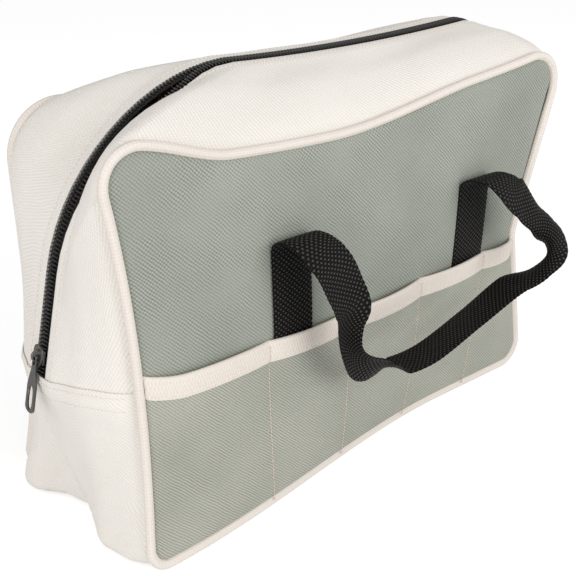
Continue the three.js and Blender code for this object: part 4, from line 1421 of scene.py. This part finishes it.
def stitch_bars(path, normal, pitch=STITCH_PITCH, radius=STITCH_RADIUS):
    """Points of the stitches along one row: five rings of six points for each, that are
    smaller and sunk into the cloth at both ends."""
    run = run_length(path)
    at = np.arange(pitch / 2, run[-1] - pitch / 2, pitch)
    up = unit(places(at, run, np.broadcast_to(normal, path.shape)))
    along = unit(places(at + 0.5, run, path) - places(at - 0.5, run, path))
    ring_at = np.array([-1, -0.72, 0, 0.72, 1]) * STITCH_LENGTH / 2
    size = np.array([0.45, 0.85, 1, 0.85, 0.45])[:, None] * radius
    dip = np.array([-1.3, -0.2, 0.25, -0.2, -1.3])[:, None] * radius
    return (
        places(at, run, path)[:, None]
        + np.repeat(ring_at, BAR_SIDES)[:, None] * along[:, None]
        + (size * np.cos(BAR_TURN)).reshape(-1, 1) * np.cross(up, along)[:, None]
        + (size * np.sin(BAR_TURN) + dip).reshape(-1, 1) * up[:, None]
    )


def stitching(name, rows, thread, side):
    """One object for rows of stitches that belong together."""
    piece = make(name, *bars(np.concatenate(rows)), [thread], sharp=80)
    if side:
        fold(piece)
    else:
        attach(piece, "root")


def pocket_face(x, z, share, proud):
    """A point on the pocket's outer face, standing proud by a little."""
    depth = face_depth(front_seam, x, z) + pocket_lift(share, z) + POCKET_CLOTH + proud
    return np.stack([x, -depth, raised(x, z)], -1)


forward = np.array([0.0, -1.0, 0.0])
divider_rows = []
z = np.linspace(4, POCKET_TOP - 1.5, 80)
proud = 0.25 + ease((z - BINDING_FOOT + 1) / 2)
for divider in DIVIDERS:
    path = pocket_face(np.full_like(z, divider), z, np.zeros_like(z), proud)
    tack = path[z > POCKET_TOP - TACK_LENGTH] + np.array([0.5, -0.15, 0])
    divider_rows += [stitch_bars(path, forward), stitch_bars(tack, forward, pitch=TACK_PITCH)]
stitching("divider_stitching", divider_rows, beige_thread, -1)

fine_x = np.linspace(binding_x[0] + 2, binding_x[-1] - 2, 400)
slot_of = np.arange(len(binding_x)) // SLOT_STEPS
share = np.interp(fine_x, binding_x, slot_of + binding_share) % 1
path = pocket_face(fine_x, np.full_like(fine_x, BINDING_SEAM_Z), share, 1.15)
stitching("binding_stitching", [stitch_bars(path, forward)], cream_thread, -1)

for side, name in ((-1, "front"), (1, "rear")):
    rows = [stitch_bars(strips[side][:, 3] + 0.12 * out, out)]
    stitching(name + "_zip_stitching", rows, cream_thread, side)


def seam_row(grid, drop):
    """A row across an end wall, a drop below the flap's edge: in each column, the place
    between the two rows of the grid on either side of that height."""
    below = grid[:1, :, 2] - grid[..., 2]
    low = (below < drop).sum(0) - 1
    columns = np.arange(grid.shape[1])
    t = (drop - below[low, columns]) / (below[low + 1, columns] - below[low, columns])
    return lerp(grid[low, columns], grid[low + 1, columns], t[:, None])


seam_rows = []
for end_grid, way in ((low_outer[:WALL_ROWS], -1), (low_outer[: -WALL_ROWS - 1 : -1], 1)):
    outwards = np.array([way, 0, 0])
    for drop in CROSS_SEAM_DROPS:
        path = seam_row(end_grid, drop)[3:-3] + 0.2 * outwards
        seam_rows.append(stitch_bars(path, outwards, radius=CROSS_SEAM_RADIUS))
stitching("cross_seam_stitching", seam_rows, cream_thread, 0)

# Studio: a pale floor and a soft, even light, with the camera at the photograph's place.

FLOOR_HALF = 3.0
FLOOR_Z = -0.0002
LAMP_TARGET = (0, 0, 0.12)
floor_points = FLOOR_HALF * np.array([[-1, -1, 0], [1, -1, 0], [1, 1, 0], [-1, 1, 0]], float)
floor_points[:, 2] = FLOOR_Z


def seen_rays(tree):
    """1 for a ray from the camera, or from a glossy or clear surface, and 0 for the rest."""
    rays = put(tree, "ShaderNodeLightPath").node.outputs
    seen = put(tree, "ShaderNodeMath", {0: rays[0], 1: rays[3]}, operation="MAXIMUM")
    return put(tree, "ShaderNodeMath", {0: seen, 1: rays[6]}, operation="MAXIMUM")


white, tree = blank_material("matt_white_paper")
paper = put(tree, "ShaderNodeBsdfDiffuse", {0: (0.8, 0.8, 0.8, 1)})
glow = put(tree, "ShaderNodeEmission", {0: (1, 1, 1, 1), 1: 0.5})
lit = put(tree, "ShaderNodeAddShader", {0: paper, 1: glow})
surface = put(tree, "ShaderNodeMixShader", {0: seen_rays(tree), 1: paper, 2: lit})
put(tree, "ShaderNodeOutputMaterial", {0: surface})
floor = make("floor", floor_points, np.array([[0, 1, 2, 3]]), [white])

world = bpy.data.worlds.new("studio")
world.use_nodes = True
bpy.context.scene.world = world
tree = world.node_tree
tree.nodes.clear()
brightness = {0: seen_rays(tree), 1: 0.0, 2: 1.0, 3: 0.56, 4: 1.0}
strength = put(tree, "ShaderNodeMapRange", brightness)
sky = put(tree, "ShaderNodeBackground", {0: (1, 1, 1, 1), 1: strength})
put(tree, "ShaderNodeOutputWorld", {0: sky})


def facing(place, back):
    """The matrix that stands a thing at a place, upright, with its back to a direction."""
    right = unit(np.cross([0, 0, 1], back))
    matrix = np.eye(4)
    matrix[:3] = np.stack([right, np.cross(back, right), back, place], -1)
    return Matrix(matrix.tolist())


def softbox(name, place, size, power):
    """A square area lamp at a place, turned to the bag, of a size and a power in watts."""
    lamp = bpy.data.lights.new(name, "AREA")
    lamp.size = size
    lamp.energy = power
    holder = bpy.data.objects.new(name, lamp)
    holder.matrix_world = facing(place, unit(np.array(place) - np.array(LAMP_TARGET)))
    bpy.context.scene.collection.objects.link(holder)


softbox("key", (0.35, -1.5, 0.75), 1.0, 12.5)
softbox("fill", (-1.5, -0.5, 0.55), 1.2, 9.5)

EYE = np.array([-0.4049, -0.4940, 0.4153])
AZIMUTH = math.radians(-39)
ELEVATION = math.radians(25.9)
FOCAL_PIXELS = 994
FRAME_PIXELS = 576
level = np.array([math.sin(AZIMUTH), -math.cos(AZIMUTH), 0]) * math.cos(ELEVATION)
lens = bpy.data.cameras.new("camera")
lens.sensor_width = 36
lens.lens = FOCAL_PIXELS / FRAME_PIXELS * lens.sensor_width
camera = bpy.data.objects.new("camera", lens)
camera.matrix_world = facing(EYE, level + (0, 0, math.sin(ELEVATION)))
bpy.context.scene.collection.objects.link(camera)
bpy.context.scene.camera = camera
bpy.context.scene.view_settings.view_transform = "Standard"
